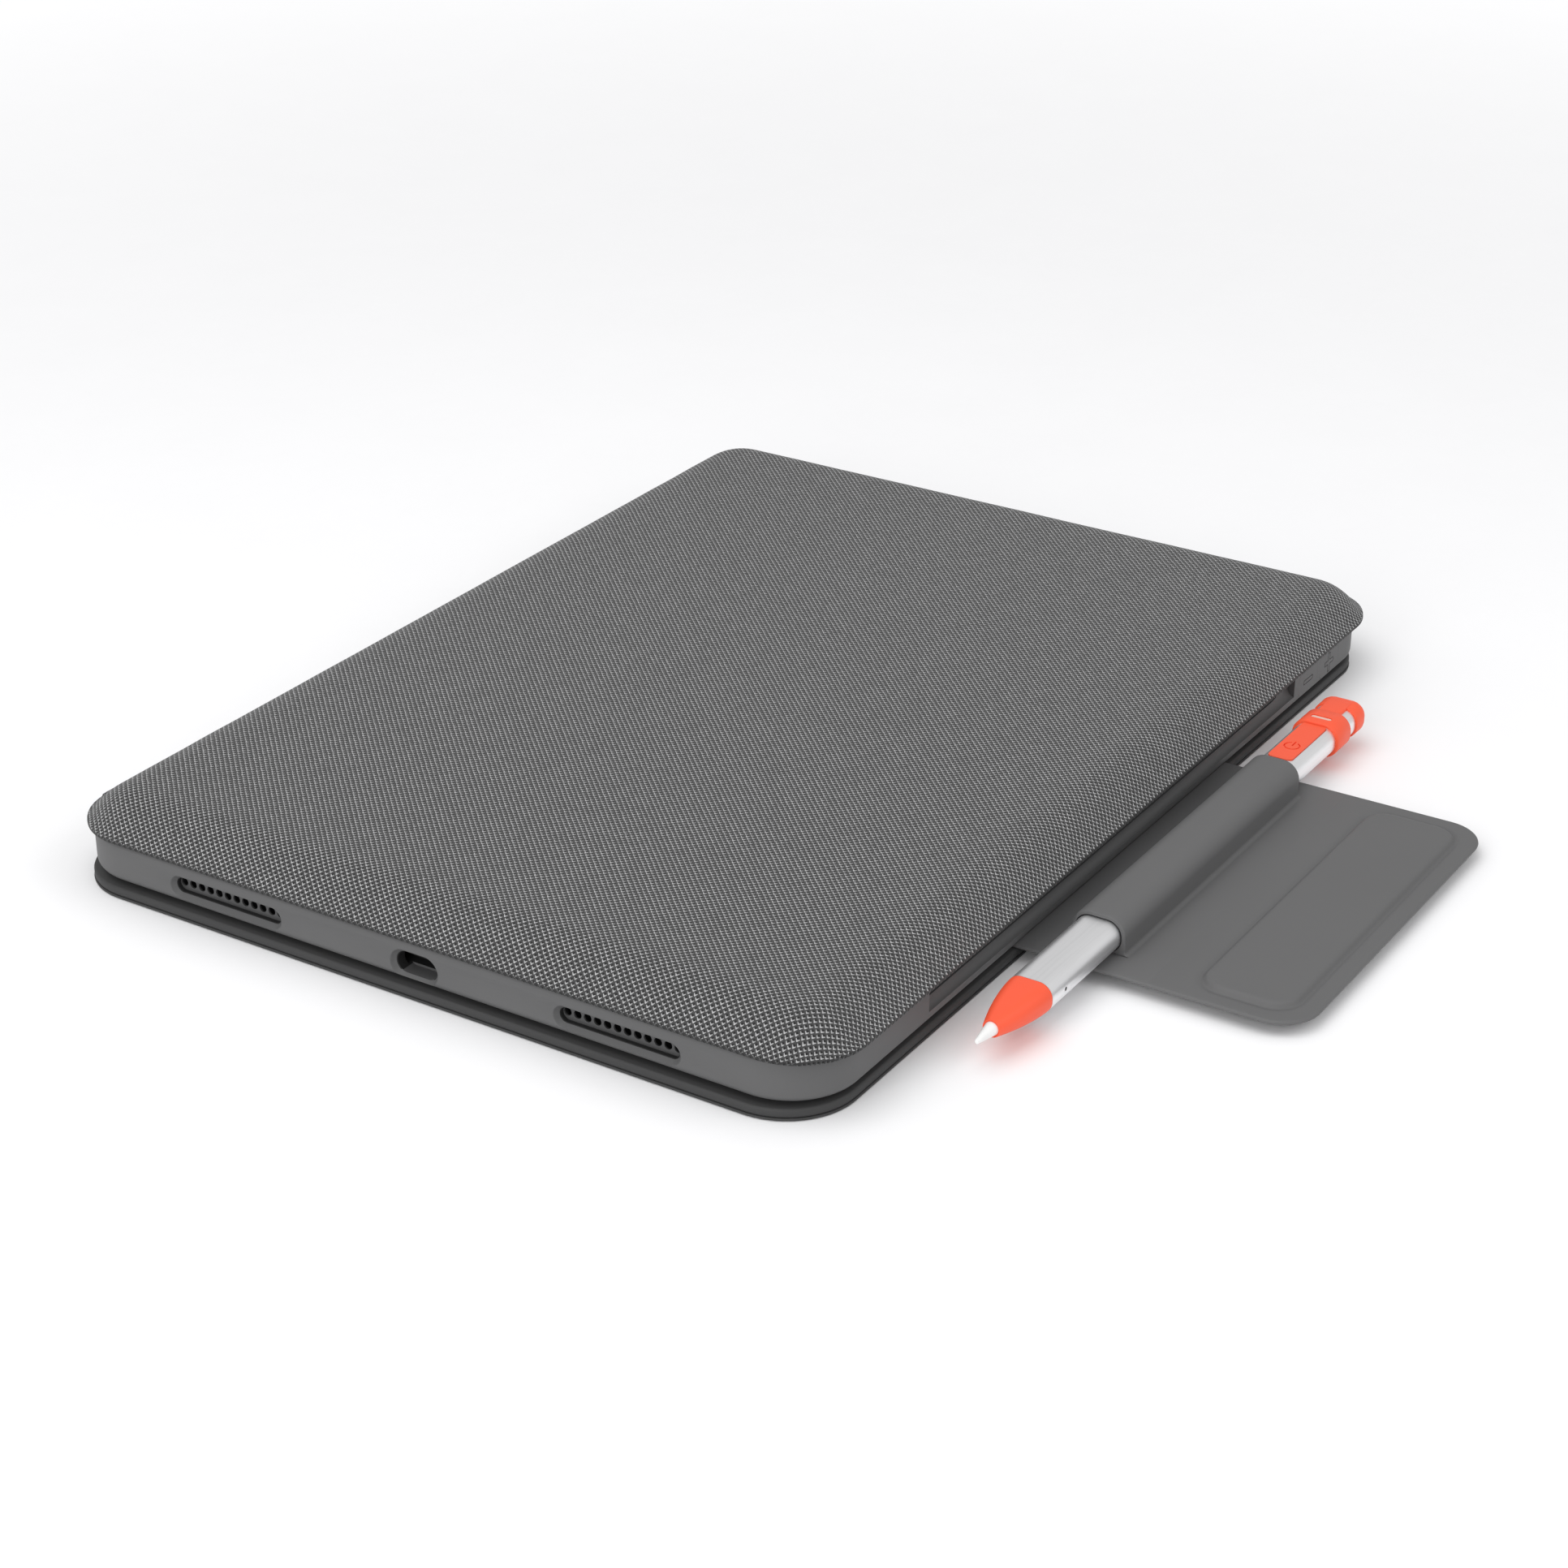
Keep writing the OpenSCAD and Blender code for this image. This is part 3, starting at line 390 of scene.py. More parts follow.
def grain_group():
    """Fine moulded or embossed grain with slow mottling."""
    tree, given, out = new_group(
        "fine grain",
        [("Color", "NodeSocketColor", None), ("Grain size", "NodeSocketFloat", 0.4),
         ("Mottle", "NodeSocketFloat", 0.06), ("Roughness", "NodeSocketFloat", 0.5)],
        [("Color", "NodeSocketColor"), ("Roughness", "NodeSocketFloat"), ("Height", "NodeSocketFloat")],
    )
    place = add_node(tree, "ShaderNodeTexCoord")
    scale = maths(tree, "DIVIDE", 1000.0, given.outputs[1])
    fine = add_node(tree, "ShaderNodeTexNoise")
    fine.inputs["Detail"].default_value = 2.0
    tree.links.new(place.outputs["Object"], fine.inputs["Vector"])
    tree.links.new(scale, fine.inputs["Scale"])
    slow = add_node(tree, "ShaderNodeTexNoise")
    slow.inputs["Scale"].default_value = 35.0
    slow.inputs["Detail"].default_value = 3.0
    tree.links.new(place.outputs["Object"], slow.inputs["Vector"])
    swing = maths(tree, "MULTIPLY", maths(tree, "SUBTRACT", slow.outputs[0], 0.5), given.outputs[2])
    speck = maths(tree, "MULTIPLY", maths(tree, "SUBTRACT", fine.outputs[0], 0.5), given.outputs[2])
    total = maths(tree, "ADD", 1.0, maths(tree, "MULTIPLY_ADD", swing, 2.0, speck))
    tinted = add_node(tree, "ShaderNodeVectorMath", operation="SCALE")
    tree.links.new(given.outputs[0], tinted.inputs[0])
    tree.links.new(total, tinted.inputs["Scale"])
    tree.links.new(tinted.outputs[0], out.inputs["Color"])
    rough = maths(tree, "MULTIPLY_ADD", swing, 1.5, given.outputs[3])
    tree.links.new(rough, out.inputs["Roughness"])
    tree.links.new(fine.outputs[0], out.inputs["Height"])
    return tree


def brushed_group():
    """Fine bead-blasted metal with faint streaks along its length."""
    tree, given, out = new_group(
        "satin metal",
        [("Color", "NodeSocketColor", None), ("Roughness", "NodeSocketFloat", 0.3)],
        [("Color", "NodeSocketColor"), ("Roughness", "NodeSocketFloat"), ("Height", "NodeSocketFloat")],
    )
    place = add_node(tree, "ShaderNodeTexCoord")
    stretch = add_node(tree, "ShaderNodeMapping")
    stretch.inputs["Scale"].default_value = (45, 1300, 1300)
    tree.links.new(place.outputs["Object"], stretch.inputs["Vector"])
    streak = add_node(tree, "ShaderNodeTexNoise")
    streak.inputs["Scale"].default_value = 1.0
    tree.links.new(stretch.outputs[0], streak.inputs["Vector"])
    beads = add_node(tree, "ShaderNodeTexNoise")
    beads.inputs["Scale"].default_value = 6000.0
    tree.links.new(place.outputs["Object"], beads.inputs["Vector"])
    change = maths(tree, "MULTIPLY_ADD", streak.outputs[0], 0.16, 0.92)
    tinted = add_node(tree, "ShaderNodeVectorMath", operation="SCALE")
    tree.links.new(given.outputs[0], tinted.inputs[0])
    tree.links.new(change, tinted.inputs["Scale"])
    tree.links.new(tinted.outputs[0], out.inputs["Color"])
    rough = maths(tree, "MULTIPLY_ADD", beads.outputs[0], 0.14, given.outputs[1])
    tree.links.new(rough, out.inputs["Roughness"])
    tree.links.new(beads.outputs[0], out.inputs["Height"])
    return tree


WEAVE = weave_group()
GRAIN = grain_group()
SATIN = brushed_group()


# ---- Materials ----


def grey(value):
    return (value, value, value * 1.01, 1)


def new_material(name):
    material = bpy.data.materials.new(name)
    material.use_nodes = True
    return material, material.node_tree, material.node_tree.nodes["Principled BSDF"]


def bumped(tree, shader, height, strength, distance):
    bump = add_node(tree, "ShaderNodeBump")
    bump.inputs["Strength"].default_value = strength
    bump.inputs["Distance"].default_value = distance * MM
    tree.links.new(height, bump.inputs["Height"])
    tree.links.new(bump.outputs[0], shader.inputs["Normal"])


def cloth_material(name, yarn, light_float, painted_pit_shade):
    material, tree, shader = new_material(name)
    woven = add_node(tree, "ShaderNodeGroup", node_tree=WEAVE)
    for socket, value in zip(woven.inputs, (yarn, light_float, painted_pit_shade)):
        socket.default_value = value
    tree.links.new(woven.outputs["Color"], shader.inputs["Base Color"])
    rough = maths(tree, "MULTIPLY_ADD", woven.outputs["Float mask"], -0.2, 0.9)
    tree.links.new(rough, shader.inputs["Roughness"])
    shader.inputs["Specular IOR Level"].default_value = 0.3
    shader.inputs["Sheen Weight"].default_value = 0.15
    shader.inputs["Sheen Roughness"].default_value = 0.5
    bumped(tree, shader, woven.outputs["Height"], 0.8, 0.12)
    return material


def grained_material(name, colour, roughness, size=0.4, mottle=0.06, bump=0.15, specular=0.4, metallic=0.0):
    material, tree, shader = new_material(name)
    grain = add_node(tree, "ShaderNodeGroup", node_tree=GRAIN)
    for socket, value in zip(grain.inputs, (colour, size, mottle, roughness)):
        socket.default_value = value
    tree.links.new(grain.outputs["Color"], shader.inputs["Base Color"])
    tree.links.new(grain.outputs["Roughness"], shader.inputs["Roughness"])
    shader.inputs["Specular IOR Level"].default_value = specular
    shader.inputs["Metallic"].default_value = metallic
    bumped(tree, shader, grain.outputs["Height"], bump, 0.05)
    return material


def metal_material(name, colour, roughness):
    material, tree, shader = new_material(name)
    satin = add_node(tree, "ShaderNodeGroup", node_tree=SATIN)
    satin.inputs[0].default_value = colour
    satin.inputs[1].default_value = roughness
    tree.links.new(satin.outputs["Color"], shader.inputs["Base Color"])
    tree.links.new(satin.outputs["Roughness"], shader.inputs["Roughness"])
    shader.inputs["Metallic"].default_value = 1.0
    bumped(tree, shader, satin.outputs["Height"], 0.06, 0.02)
    return material


# In each cloth the third colour is painted shade in the weave's pits.
COVER_CLOTH = cloth_material("charcoal two tone cloth", grey(0.050), grey(0.455), grey(0.014))
CUT_EDGE = cloth_material("cut edge of the cloth", grey(0.026), grey(0.075), grey(0.010))
FRAME_PLASTIC = grained_material("soft grey holder plastic", grey(0.104), 0.52, 0.5, 0.05, 0.10)
INNER_SKIN = grained_material("smooth dark inner skin", grey(0.040), 0.62, 0.35, 0.06, 0.18)
FLAP_SKIN = grained_material("smooth grey flap skin", grey(0.122), 0.60, 0.35, 0.05, 0.16)
# Real dark plastic for the keyboard tray and camera ring, and painted shade inside the holder's bay, slots and
# port.
DARK_PLASTIC_AND_PAINTED_SHADE = grained_material("dark plastic and painted bay shade", grey(0.018), 0.6, 0.5, 0.08, 0.15)
GRILLE = grained_material("grey slot grille", grey(0.075), 0.4, 0.4, 0.06, 0.1)
# Black rubber for the dock rest and mount pad, and painted shade in the cup behind the barrel's side hole.
BLACK_RUBBER_AND_HOLE_SHADE = grained_material("black rubber", grey(0.014), 0.8, 0.3, 0.1, 0.25, 0.25)
KEY_PLASTIC = grained_material("dark keycap plastic", grey(0.030), 0.5, 0.25, 0.06, 0.12)
DECK_PLASTIC = grained_material("dark deck plastic", grey(0.050), 0.55, 0.4, 0.05, 0.15)
BOARD_FIBRE = grained_material("grey fibre board", (0.45, 0.42, 0.37, 1), 0.9, 0.6, 0.2, 0.4)
CIRCUIT = grained_material("green circuit board", (0.02, 0.12, 0.05, 1), 0.4, 1.2, 0.3, 0.1)
LIGHT_GUIDE = grained_material("milky light guide", (0.75, 0.80, 0.86, 1), 0.3, 0.8, 0.04, 0.02)
STATUS_LAMP = grained_material("pale green lamp", (0.45, 0.8, 0.5, 1), 0.25, 0.5, 0.05, 0.02)
STEEL = metal_material("stamped steel", (0.42, 0.43, 0.45, 1), 0.35)
NICKEL = metal_material("nickel plate", (0.58, 0.57, 0.55, 1), 0.25)
CELL_FOIL = metal_material("battery foil", (0.62, 0.63, 0.65, 1), 0.45)
BARREL_METAL = metal_material("satin silver barrel", (0.88, 0.88, 0.89, 1), 0.34)
ORANGE = grained_material("orange soft rubber", (0.92, 0.105, 0.042, 1), 0.45, 0.3, 0.04, 0.08, 0.35)
WHITE_TIP = grained_material("white polished tip", (0.86, 0.86, 0.85, 1), 0.28, 0.4, 0.02, 0.02, 0.5)
PALE_WINDOW = grained_material("milky light window", (0.80, 0.52, 0.44, 1), 0.3, 0.4, 0.03, 0.02, 0.5)


# ---- Padded cover ----

COVER_H = COVER_HIGH.z - COVER_LOW.z
BRIM_H = 1.1
CROWN_H = COVER_H - BRIM_H + 0.35
CROWN_STOPS = [0.1, 0.3, 0.5, 0.7, 0.9, 1.1, 1.4, 1.8, 2.3, 2.9, 3.5, 4.2, 4.9, 5.7, 6.5, 7.4, 8.4, 9.6,
               11, 12.6,
               14.5, 16.5, 19, 22, 28, 36, 46, 58, 72, 84]


def cover_rise(d):
    """Height of the cover's skin at a distance d in from its edge: a thin lip, then a soft shoulder."""
    past = d - 0.8
    turned = (math.sqrt(past ** 2 + 0.45 ** 2) + past) / 2
    share = min(turned / 12.2, 1.0)
    return BRIM_H + 0.08 * min(d, 1.0) + CROWN_H * (1 - (1 - share) ** 2.2)


def build_cover_skin():
    """The woven skin, one closed shell: underside, brim, shoulder and crown."""
    x0, x1, y0, y1 = COVER_LOW.x, COVER_HIGH.x, COVER_LOW.y, COVER_HIGH.y
    z = COVER_LOW.z

    def ring(d, height):
        outline = rounded_outline(x0 + d, x1 - d, y0 + d, y1 - d, max(PANEL_R - 1.15 * d, 3), straight=24)
        return at_height(outline, z + height), [n for _, n in outline]

    below = [(24, COVER_H - 1.0), (9, COVER_H - 1.7), (4.6, 3.0), (2.6, 1.2), (1.1, 0.35), (0.9, 0.05)]
    brim = [(0.45, 0.0), (0.2, 0.06), (0.05, 0.2), (0.0, 0.4), (0.0, BRIM_H - 0.45), (0.02, BRIM_H - 0.2)]
    crown = [(d, cover_rise(d)) for d in CROWN_STOPS]
    stops = below + brim + crown
    rings = [ring(d, h)[0] for d, h in stops]
    extra = {}
    flat = stops.index(crown[-1])
    run = 0.0
    for i in range(flat, -1, -1):
        d, h = stops[i]
        if i < flat:
            was_d, was_h = stops[i + 1]
            step = math.hypot(was_d - d, was_h - h)
            run += step - (was_d - d)
        extra[i] = run
    points, faces = loft_mesh(rings)
    piece = new_object("padded_cover_skin", points, faces, sharp=60)
    normals = ring(0, 0)[1]
    places = []
    for i, ring_points in enumerate(rings):
        for p, out in zip(ring_points, normals):
            places.append((p.x + out.x * extra[i], p.y + out.y * extra[i]))
    layer = piece.data.uv_layers.new(name="weave")
    for loop in piece.data.loops:
        layer.data[loop.index].uv = places[loop.vertex_index]
    pucker(piece, z)
    return piece


def pucker(piece, z):
    """The padding's slow unevenness, strongest on the shoulder."""
    for vertex in piece.data.vertices:
        p = vertex.co / MM
        rise = (p.z - z) / COVER_H
        if rise < 0.25:
            continue
        slow = noise.noise(Vector((p.x / 31, p.y / 31, 1.7)))
        quick = noise.noise(Vector((p.x / 9, p.y / 9, 5.1)))
        on_shoulder = smooth((rise - 0.25) / 0.3) * smooth((1.0 - rise) / 0.25)
        vertex.co.z += (0.05 * slow - 0.05 + 0.09 * quick * on_shoulder) * MM


def build_cover():
    skin = build_cover_skin()
    finished(skin, COVER_CLOTH, "front_cover", "woven_cover", "cover_fabric", "cover_foam")
    second_finish(skin, CUT_EDGE,
                  lambda middle, normal: abs(normal.z) < 0.75 and middle.z < COVER_LOW.z + BRIM_H - 0.3)


# ---- Holder ----

FLOOR_Z = BAY_LOW.z
RIM_Z = FLOOR_Z + (BAY_HIGH.z - BAY_LOW.z) + TABLET.z + 0.1
SLOT = {"y": 48.9, "l": 28.6, "h": 3.9, "z": HOLDER_LOW.z + 3.65}
PORT = {"w": 11.4, "h": 6.2, "z": HOLDER_LOW.z + 3.3}
WINDOW = {"x0": -TABLET.x / 2 + 37.6, "x1": TABLET.x / 2 - 40.8, "z": HOLDER_LOW.z + 4.1}
PAD_GAP = 0.035
TUNNEL = 1.1


def holder_shell():
    """Tray with a floor, walls and a rim that turns in over the glass."""
    half = TABLET.xy / 2

    def outer(d, z):
        return at_height(rounded_outline(
            HOLDER_LOW.x + d, HOLDER_HIGH.x - d, HOLDER_LOW.y + d, HOLDER_HIGH.y - d, HOLDER_R - d), z)

    def inner(grow, r, z):
        return at_height(rounded_outline(-half.x - grow, half.x + grow, -half.y - grow, half.y + grow, r), z)

    low, high = HOLDER_LOW.z, HOLDER_HIGH.z
    rings = []
    for i in range(9):
        a = math.radians(90 * i / 8)
        rings.append(outer(FOOT_INSET * (1 - math.sin(a)), low + FOOT_INSET * 1.3 * (1 - math.cos(a))))
    rings.append(outer(0, (low + high) / 2))
    for i in range(6):
        a = math.radians(90 * i / 5)
        rings.append(outer(0.8 * (1 - math.cos(a)), high - 0.8 + 0.8 * math.sin(a)))
    rings += [
        inner(-LIP_REACH + 0.25, 9.2, high), inner(-LIP_REACH + 0.05, 9.05, high - 0.1),
        inner(-LIP_REACH, 9, high - 0.3), inner(-LIP_REACH, 9, RIM_Z),
        inner(TABLET_GAP, 11, RIM_Z), inner(TABLET_GAP, 11, FLOOR_Z),
    ]
    return new_object("tablet_holder", *loft_mesh(rings), sharp=38)


def through_wall(y, z, w, h, stops):
    """Cutter through the short side: pill outlines at (x, growth) stops."""
    rings = []
    for x, grow in stops:
        width, height = w + 2 * grow, h + 2 * grow
        outline = rounded_outline(-width / 2, width / 2, -height / 2, height / 2, height / 2 - 0.02, 12)
        rings.append([Vector((x, y + p.x, z + p.y)) for p, _ in outline])
    return new_object("cutter", *loft_mesh(rings))


def side_cutters():
    face = HOLDER_LOW.x
    bevel = [(face - 1, 0.7), (face - 0.02, 0.7), (face + 0.06, 0.56), (face + 0.22, 0.46),
             (face + TUNNEL, -0.25),
             (face + TUNNEL + 0.15, -0.35), (face + 4.6, -0.35)]
    found = [through_wall(y, SLOT["z"], SLOT["l"], SLOT["h"], bevel) for y in (-SLOT["y"], SLOT["y"])]
    port_bevel = [(face - 1, 0.4), (face - 0.02, 0.4), (face + 0.06, 0.26), (face + 0.22, 0.16),
                  (face + TUNNEL, -0.55),
                  (face + TUNNEL + 0.15, -0.7), (face + 4.6, -0.7)]
    found.append(through_wall(0, PORT["z"], PORT["w"], PORT["h"], port_bevel))
    return found


def pad_box(node, grow):
    """Rounded block around a pad, as wide as the pad plus grow on each side."""
    low, high = span(node)
    deep = 1.2
    if high.x - low.x < high.y - low.y:
        outline = rounded_outline(low.y - grow, high.y + grow, low.z - grow, high.z + grow, 1.6, 8)
        rings = [[Vector((x, p.x, p.y)) for p, _ in outline] for x in (low.x - deep, high.x + deep)]
    else:
        outline = rounded_outline(low.x - grow, high.x + grow, low.z - grow, high.z + grow, 1.6, 8)
        rings = [[Vector((p.x, y, p.y)) for p, _ in outline] for y in (low.y - deep, high.y + deep)]
    return new_object("cutter", *loft_mesh(rings))


def window_cutters():
    """Long opening for the charging stylus, with a scoop below it.

    It is square at the port end and rounded at the other."""
    sweep, rise, steps = 10, 5, 14
    x0, x1, z = WINDOW["x0"], WINDOW["x1"], WINDOW["z"]
    turns = [math.radians(90 * i / steps) for i in range(steps + 1)]
    outline = [(x0, z + 25), (x0, z)]
    outline += [(x1 - sweep + sweep * math.sin(a), z + rise - rise * math.cos(a)) for a in turns] + [
        (x1, z + 25)]
    y0, y1 = HOLDER_LOW.y - 3, -TABLET.y / 2 + LIP_REACH + 1
    rings = [[Vector((x, y, h)) for x, h in outline] for y in (y0, y1)]
    opening = new_object("cutter", *loft_mesh(rings))
    scoop = arc(HOLDER_LOW.y - 0.6, z + 0.6, 2.4, 0, 345, 23)
    rings = [[Vector((x, y, h)) for y, h in scoop] for x in (x0, x1)]
    return [opening, new_object("cutter", *loft_mesh(rings))]


def camera_cutter(grow):
    outline = rounded_outline(RING_LOW.x - grow, RING_HIGH.x + grow, RING_LOW.y - grow, RING_HIGH.y + grow,
                              7.8 + grow)
    return new_object("cutter", *loft_mesh([at_height(outline, -5), at_height(outline, FLOOR_Z + 4)]))


def painted_shade_faces(middle, normal):
    """True on the walls of the bay, and past the bevels of the speaker slots and of the port: the faces where
    dark plastic stands in for shade.
    """
    past_bevel = HOLDER_LOW.x + TUNNEL + 0.02 < middle.x < HOLDER_LOW.x + 5
    looks_in = normal.x * middle.x + normal.y * middle.y < 0.1
    in_bay = abs(middle.x) < TABLET.x / 2 + 0.6 and abs(middle.y) < TABLET.y / 2 + 0.6 and looks_in
    in_slots = abs(middle.y) < SLOT["y"] + SLOT["l"] / 2 + 1 and abs(normal.x) < 0.9
    return FLOOR_Z - 0.1 < middle.z < RIM_Z + 0.05 and (in_bay or past_bevel and in_slots)


def build_holder():
    shell = holder_shell()
    pads = [pad_box(n, PAD_GAP) for n in ("volume_up_pad", "volume_down_pad", "power_pad")]
    cut(shell, *side_cutters(), *window_cutters(), *pads, camera_cutter(0))
    tidy_normals(shell, 32)
    finished(shell, FRAME_PLASTIC, "back_panel", "holder_plastic", "holder_frame")
    # Painted shade: the bay's walls and the slot and port tunnels past their bevels get dark plastic in place
    # of the shade inside them.
    second_finish(shell, DARK_PLASTIC_AND_PAINTED_SHADE, painted_shade_faces)
    for name in ("volume_up_pad", "volume_down_pad", "power_pad"):
        dress(name, FRAME_PLASTIC, 0.04)


def build_slot_grilles():
    """Perforated strips at the back of the two speaker slots."""
    holes = 12
    hole_r = 0.92
    for side, y in (("left", SLOT["y"]), ("right", -SLOT["y"])):
        curve = bpy.data.curves.new("slot_grille_" + side, "CURVE")
        curve.dimensions = "2D"
        curve.fill_mode = "BOTH"
        curve.extrude = 0.2 * MM
        w, h = SLOT["l"] + 0.6, SLOT["h"] + 0.8
        lines = [[p for p, _ in rounded_outline(-w / 2, w / 2, -h / 2, h / 2, h / 2 - 0.05, 12)]]
        for i in range(holes):
            middle = (i - (holes - 1) / 2) * (SLOT["l"] - 2.8) / (holes - 1)
            lines.append([Vector(p) for p in arc(middle, 0.15, hole_r, 0, 345, 23)])
        for line in lines:
            spline = curve.splines.new("POLY")
            spline.points.add(len(line) - 1)
            for point, p in zip(spline.points, line):
                point.co = (p.x * MM, p.y * MM, 0, 1)
            spline.use_cyclic_u = True
        drawn = bpy.data.objects.new("drawn", curve)
        bpy.context.scene.collection.objects.link(drawn)
        graph = bpy.context.evaluated_depsgraph_get()
        mesh = bpy.data.meshes.new_from_object(drawn.evaluated_get(graph))
        bpy.data.objects.remove(drawn)
        x = HOLDER_LOW.x + 2.4
        for vertex in mesh.vertices:
            p = vertex.co / MM
            vertex.co = Vector((x + p.z, y - p.x, SLOT["z"] + p.y)) * MM
        piece = bpy.data.objects.new("slot_grille_" + side, mesh)
        bpy.context.scene.collection.objects.link(piece)
        tidy_normals(piece, 30)
        finished(piece, GRILLE, "back_panel", "dark_plastic")


def dress(name, material, edge=0.0, segments=3):
    """A CAD node that keeps its shape: smooth shading, rounded edges and its own finish."""
    piece = frame["nodes"][name]
    piece.data.materials.clear()
    piece.data.materials.append(material)
    for face in piece.data.polygons:
        face.use_smooth = True
        face.material_index = 0
    if edge:
        soften(piece, edge, segments)
    else:
        mark_sharp(piece.data)


def mark_sharp(mesh, angle=32):
    work = bmesh.new()
    work.from_mesh(mesh)
    for edge in work.edges:
        edge.smooth = not (len(edge.link_faces) == 2 and edge.calc_face_angle(0) > math.radians(angle))
    work.to_mesh(mesh)
    work.free()


# ---- Back panel ----


def panel_rings(inset, z0, z1, edge):
    """Rings of a thin slab whose rim is rounded by edge millimetres."""
    def ring(d, z):
        return at_height(rounded_outline(PANEL_LOW.x + d, PANEL_HIGH.x - d, PANEL_LOW.y + d, PANEL_HIGH.y - d,
                                         PANEL_R - d), z)
    rings = [ring(inset + edge, z0), ring(inset + edge * 0.3, z0 + edge * 0.3), ring(inset, z0 + edge)]
    rings += [ring(inset, z1 - edge), ring(inset + edge * 0.3, z1 - edge * 0.3), ring(inset + edge, z1)]
    return rings


def build_back_panel():
    cloth_top = span("back_fabric")[1].z
    cloth = new_object("back_panel_cloth", *loft_mesh(panel_rings(0.0, 0.0, cloth_top, 0.15)), sharp=50)
    cut(cloth, camera_cutter(0))
    tidy_normals(cloth, 50)
    plan_map(cloth)
    finished(cloth, COVER_CLOTH, "back_panel", "woven_cover", "back_fabric")
    second_finish(cloth, INNER_SKIN, lambda middle, normal: normal.z > -0.98)
    skin = new_object("back_panel_skin", *loft_mesh(panel_rings(0.1, cloth_top + 0.02, PANEL_HIGH.z, 0.5)),
                      sharp=50)
    cut(skin, camera_cutter(0))
    tidy_normals(skin, 50)
    finished(skin, INNER_SKIN, "back_panel", "smooth_skin", "back_lining", "back_board_front",
             "back_board_rear",
             "crease_strip")


# ---- Spine ----


def build_spine():
    """Cloth that wraps from the back panel round the spine to the cover, one sheet for each fold."""
    low = fold_line("spine_lower_fold")
    high = fold_line("spine_upper_fold")
    x0, x1 = SPINE_LOW.x, SPINE_HIGH.x
    middle = (low.z + high.z) / 2
    inner_line = [(PANEL_HIGH.y - 3, low.z - 0.9), (PANEL_HIGH.y - 0.4, low.z - 0.9)]
    lower = inner_line + arc(low.y - 0.35, low.z + 0.35, 1.25, -90, 0, 10)
    lower += [(lower[-1][0], low.z + 0.35 + (middle - low.z - 0.35) * k / 6) for k in range(1, 7)]
    top_turn = arc(high.y - 0.45, high.z - 1.25, 1.0, 90, 0, 10)
    upper = [(COVER_HIGH.y - 0.15, high.z - 0.25), (COVER_HIGH.y + 0.3, high.z - 0.25)] + top_turn
    start = upper[-1]
    upper += [(start[0] + (lower[-1][0] - start[0]) * k / 6, start[1] + (middle - start[1]) * k / 6)
              for k in range(1, 7)]
    for name, line, bodies, fold in (
        ("spine_cloth_lower", lower, ("back_panel", "spine"), low),
        ("spine_cloth_upper", upper[::-1], ("spine", "front_cover"), high),
    ):
        piece = ribbon(name, line, x0, x1, 0.7)
        run_map(piece, line)
        finished(piece, COVER_CLOTH, None, "woven_cover")
        if fold is low:
            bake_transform(piece)
        else:
            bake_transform(piece)
    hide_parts("spine_fabric")


def ribbon(name, line, x0, x1, thick):
    """A strip of sheet along X whose section follows a YZ line, with its thickness towards the inside."""
    stops = [x0 + 0.01, x0 + 0.3, x0 + 3] + [x0 + (x1 - x0) * k / 8 for k in range(1, 8)] + [
        x1 - 3, x1 - 0.3, x1 - 0.01]
    inside = offset_line(line, thick)
    section = line + inside[::-1]
    rings = [[Vector((x, y, z)) for y, z in section] for x in stops]
    return new_object(name, *loft_mesh(rings), sharp=50)


def offset_line(line, thick):
    found = []
    for i, (y, z) in enumerate(line):
        a = Vector(line[max(i - 1, 0)])
        b = Vector(line[min(i + 1, len(line) - 1)])
        t = (b - a).normalized()
        found.append((y - t.y * thick, z + t.x * thick))
    return found


def run_map(piece, line):
    """Cloth map for a ribbon: X across, distance along the line the other way."""
    runs = [0.0]
    for a, b in zip(line, line[1:]):
        runs.append(runs[-1] + math.dist(a, b))

    def place(p):
        nearest = min(range(len(line)), key=lambda i: (line[i][0] - p.y) ** 2 + (line[i][1] - p.z) ** 2)
        return p.x, runs[nearest]
    sheet_map(piece, place)


# ---- Flap ----

FLAP_TOP = FLAP_HIGH.z
FLAP_Z = FLAP_LOW.z
FLAP_X = (FLAP_LOW.x, FLAP_HIGH.x)


def flap_strip(name, y_from, y_to):
    """A length of the flap's sheet, with rounded side edges and rows of points across the fold."""
    rows = max(int(abs(y_to - y_from) / 0.6), 2)
    mid = (FLAP_Z + FLAP_TOP) / 2
    half = (FLAP_TOP - FLAP_Z) / 2
    left = arc(FLAP_X[0] + half, mid, half, 90, 270, 8)
    right = arc(FLAP_X[1] - half, mid, half, -90, 90, 8)
    section = left + right
    rings = []
    for i in range(rows + 1):
        y = y_from + (y_to - y_from) * i / rows
        rings.append([Vector((x, y, z)) for x, z in section])
    piece = new_object(name, *loft_mesh(rings), sharp=50)
    finished(piece, FLAP_SKIN, None, "flap_skin")
    blend_over(piece)
    return piece


def blend_over(piece):
    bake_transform(piece)


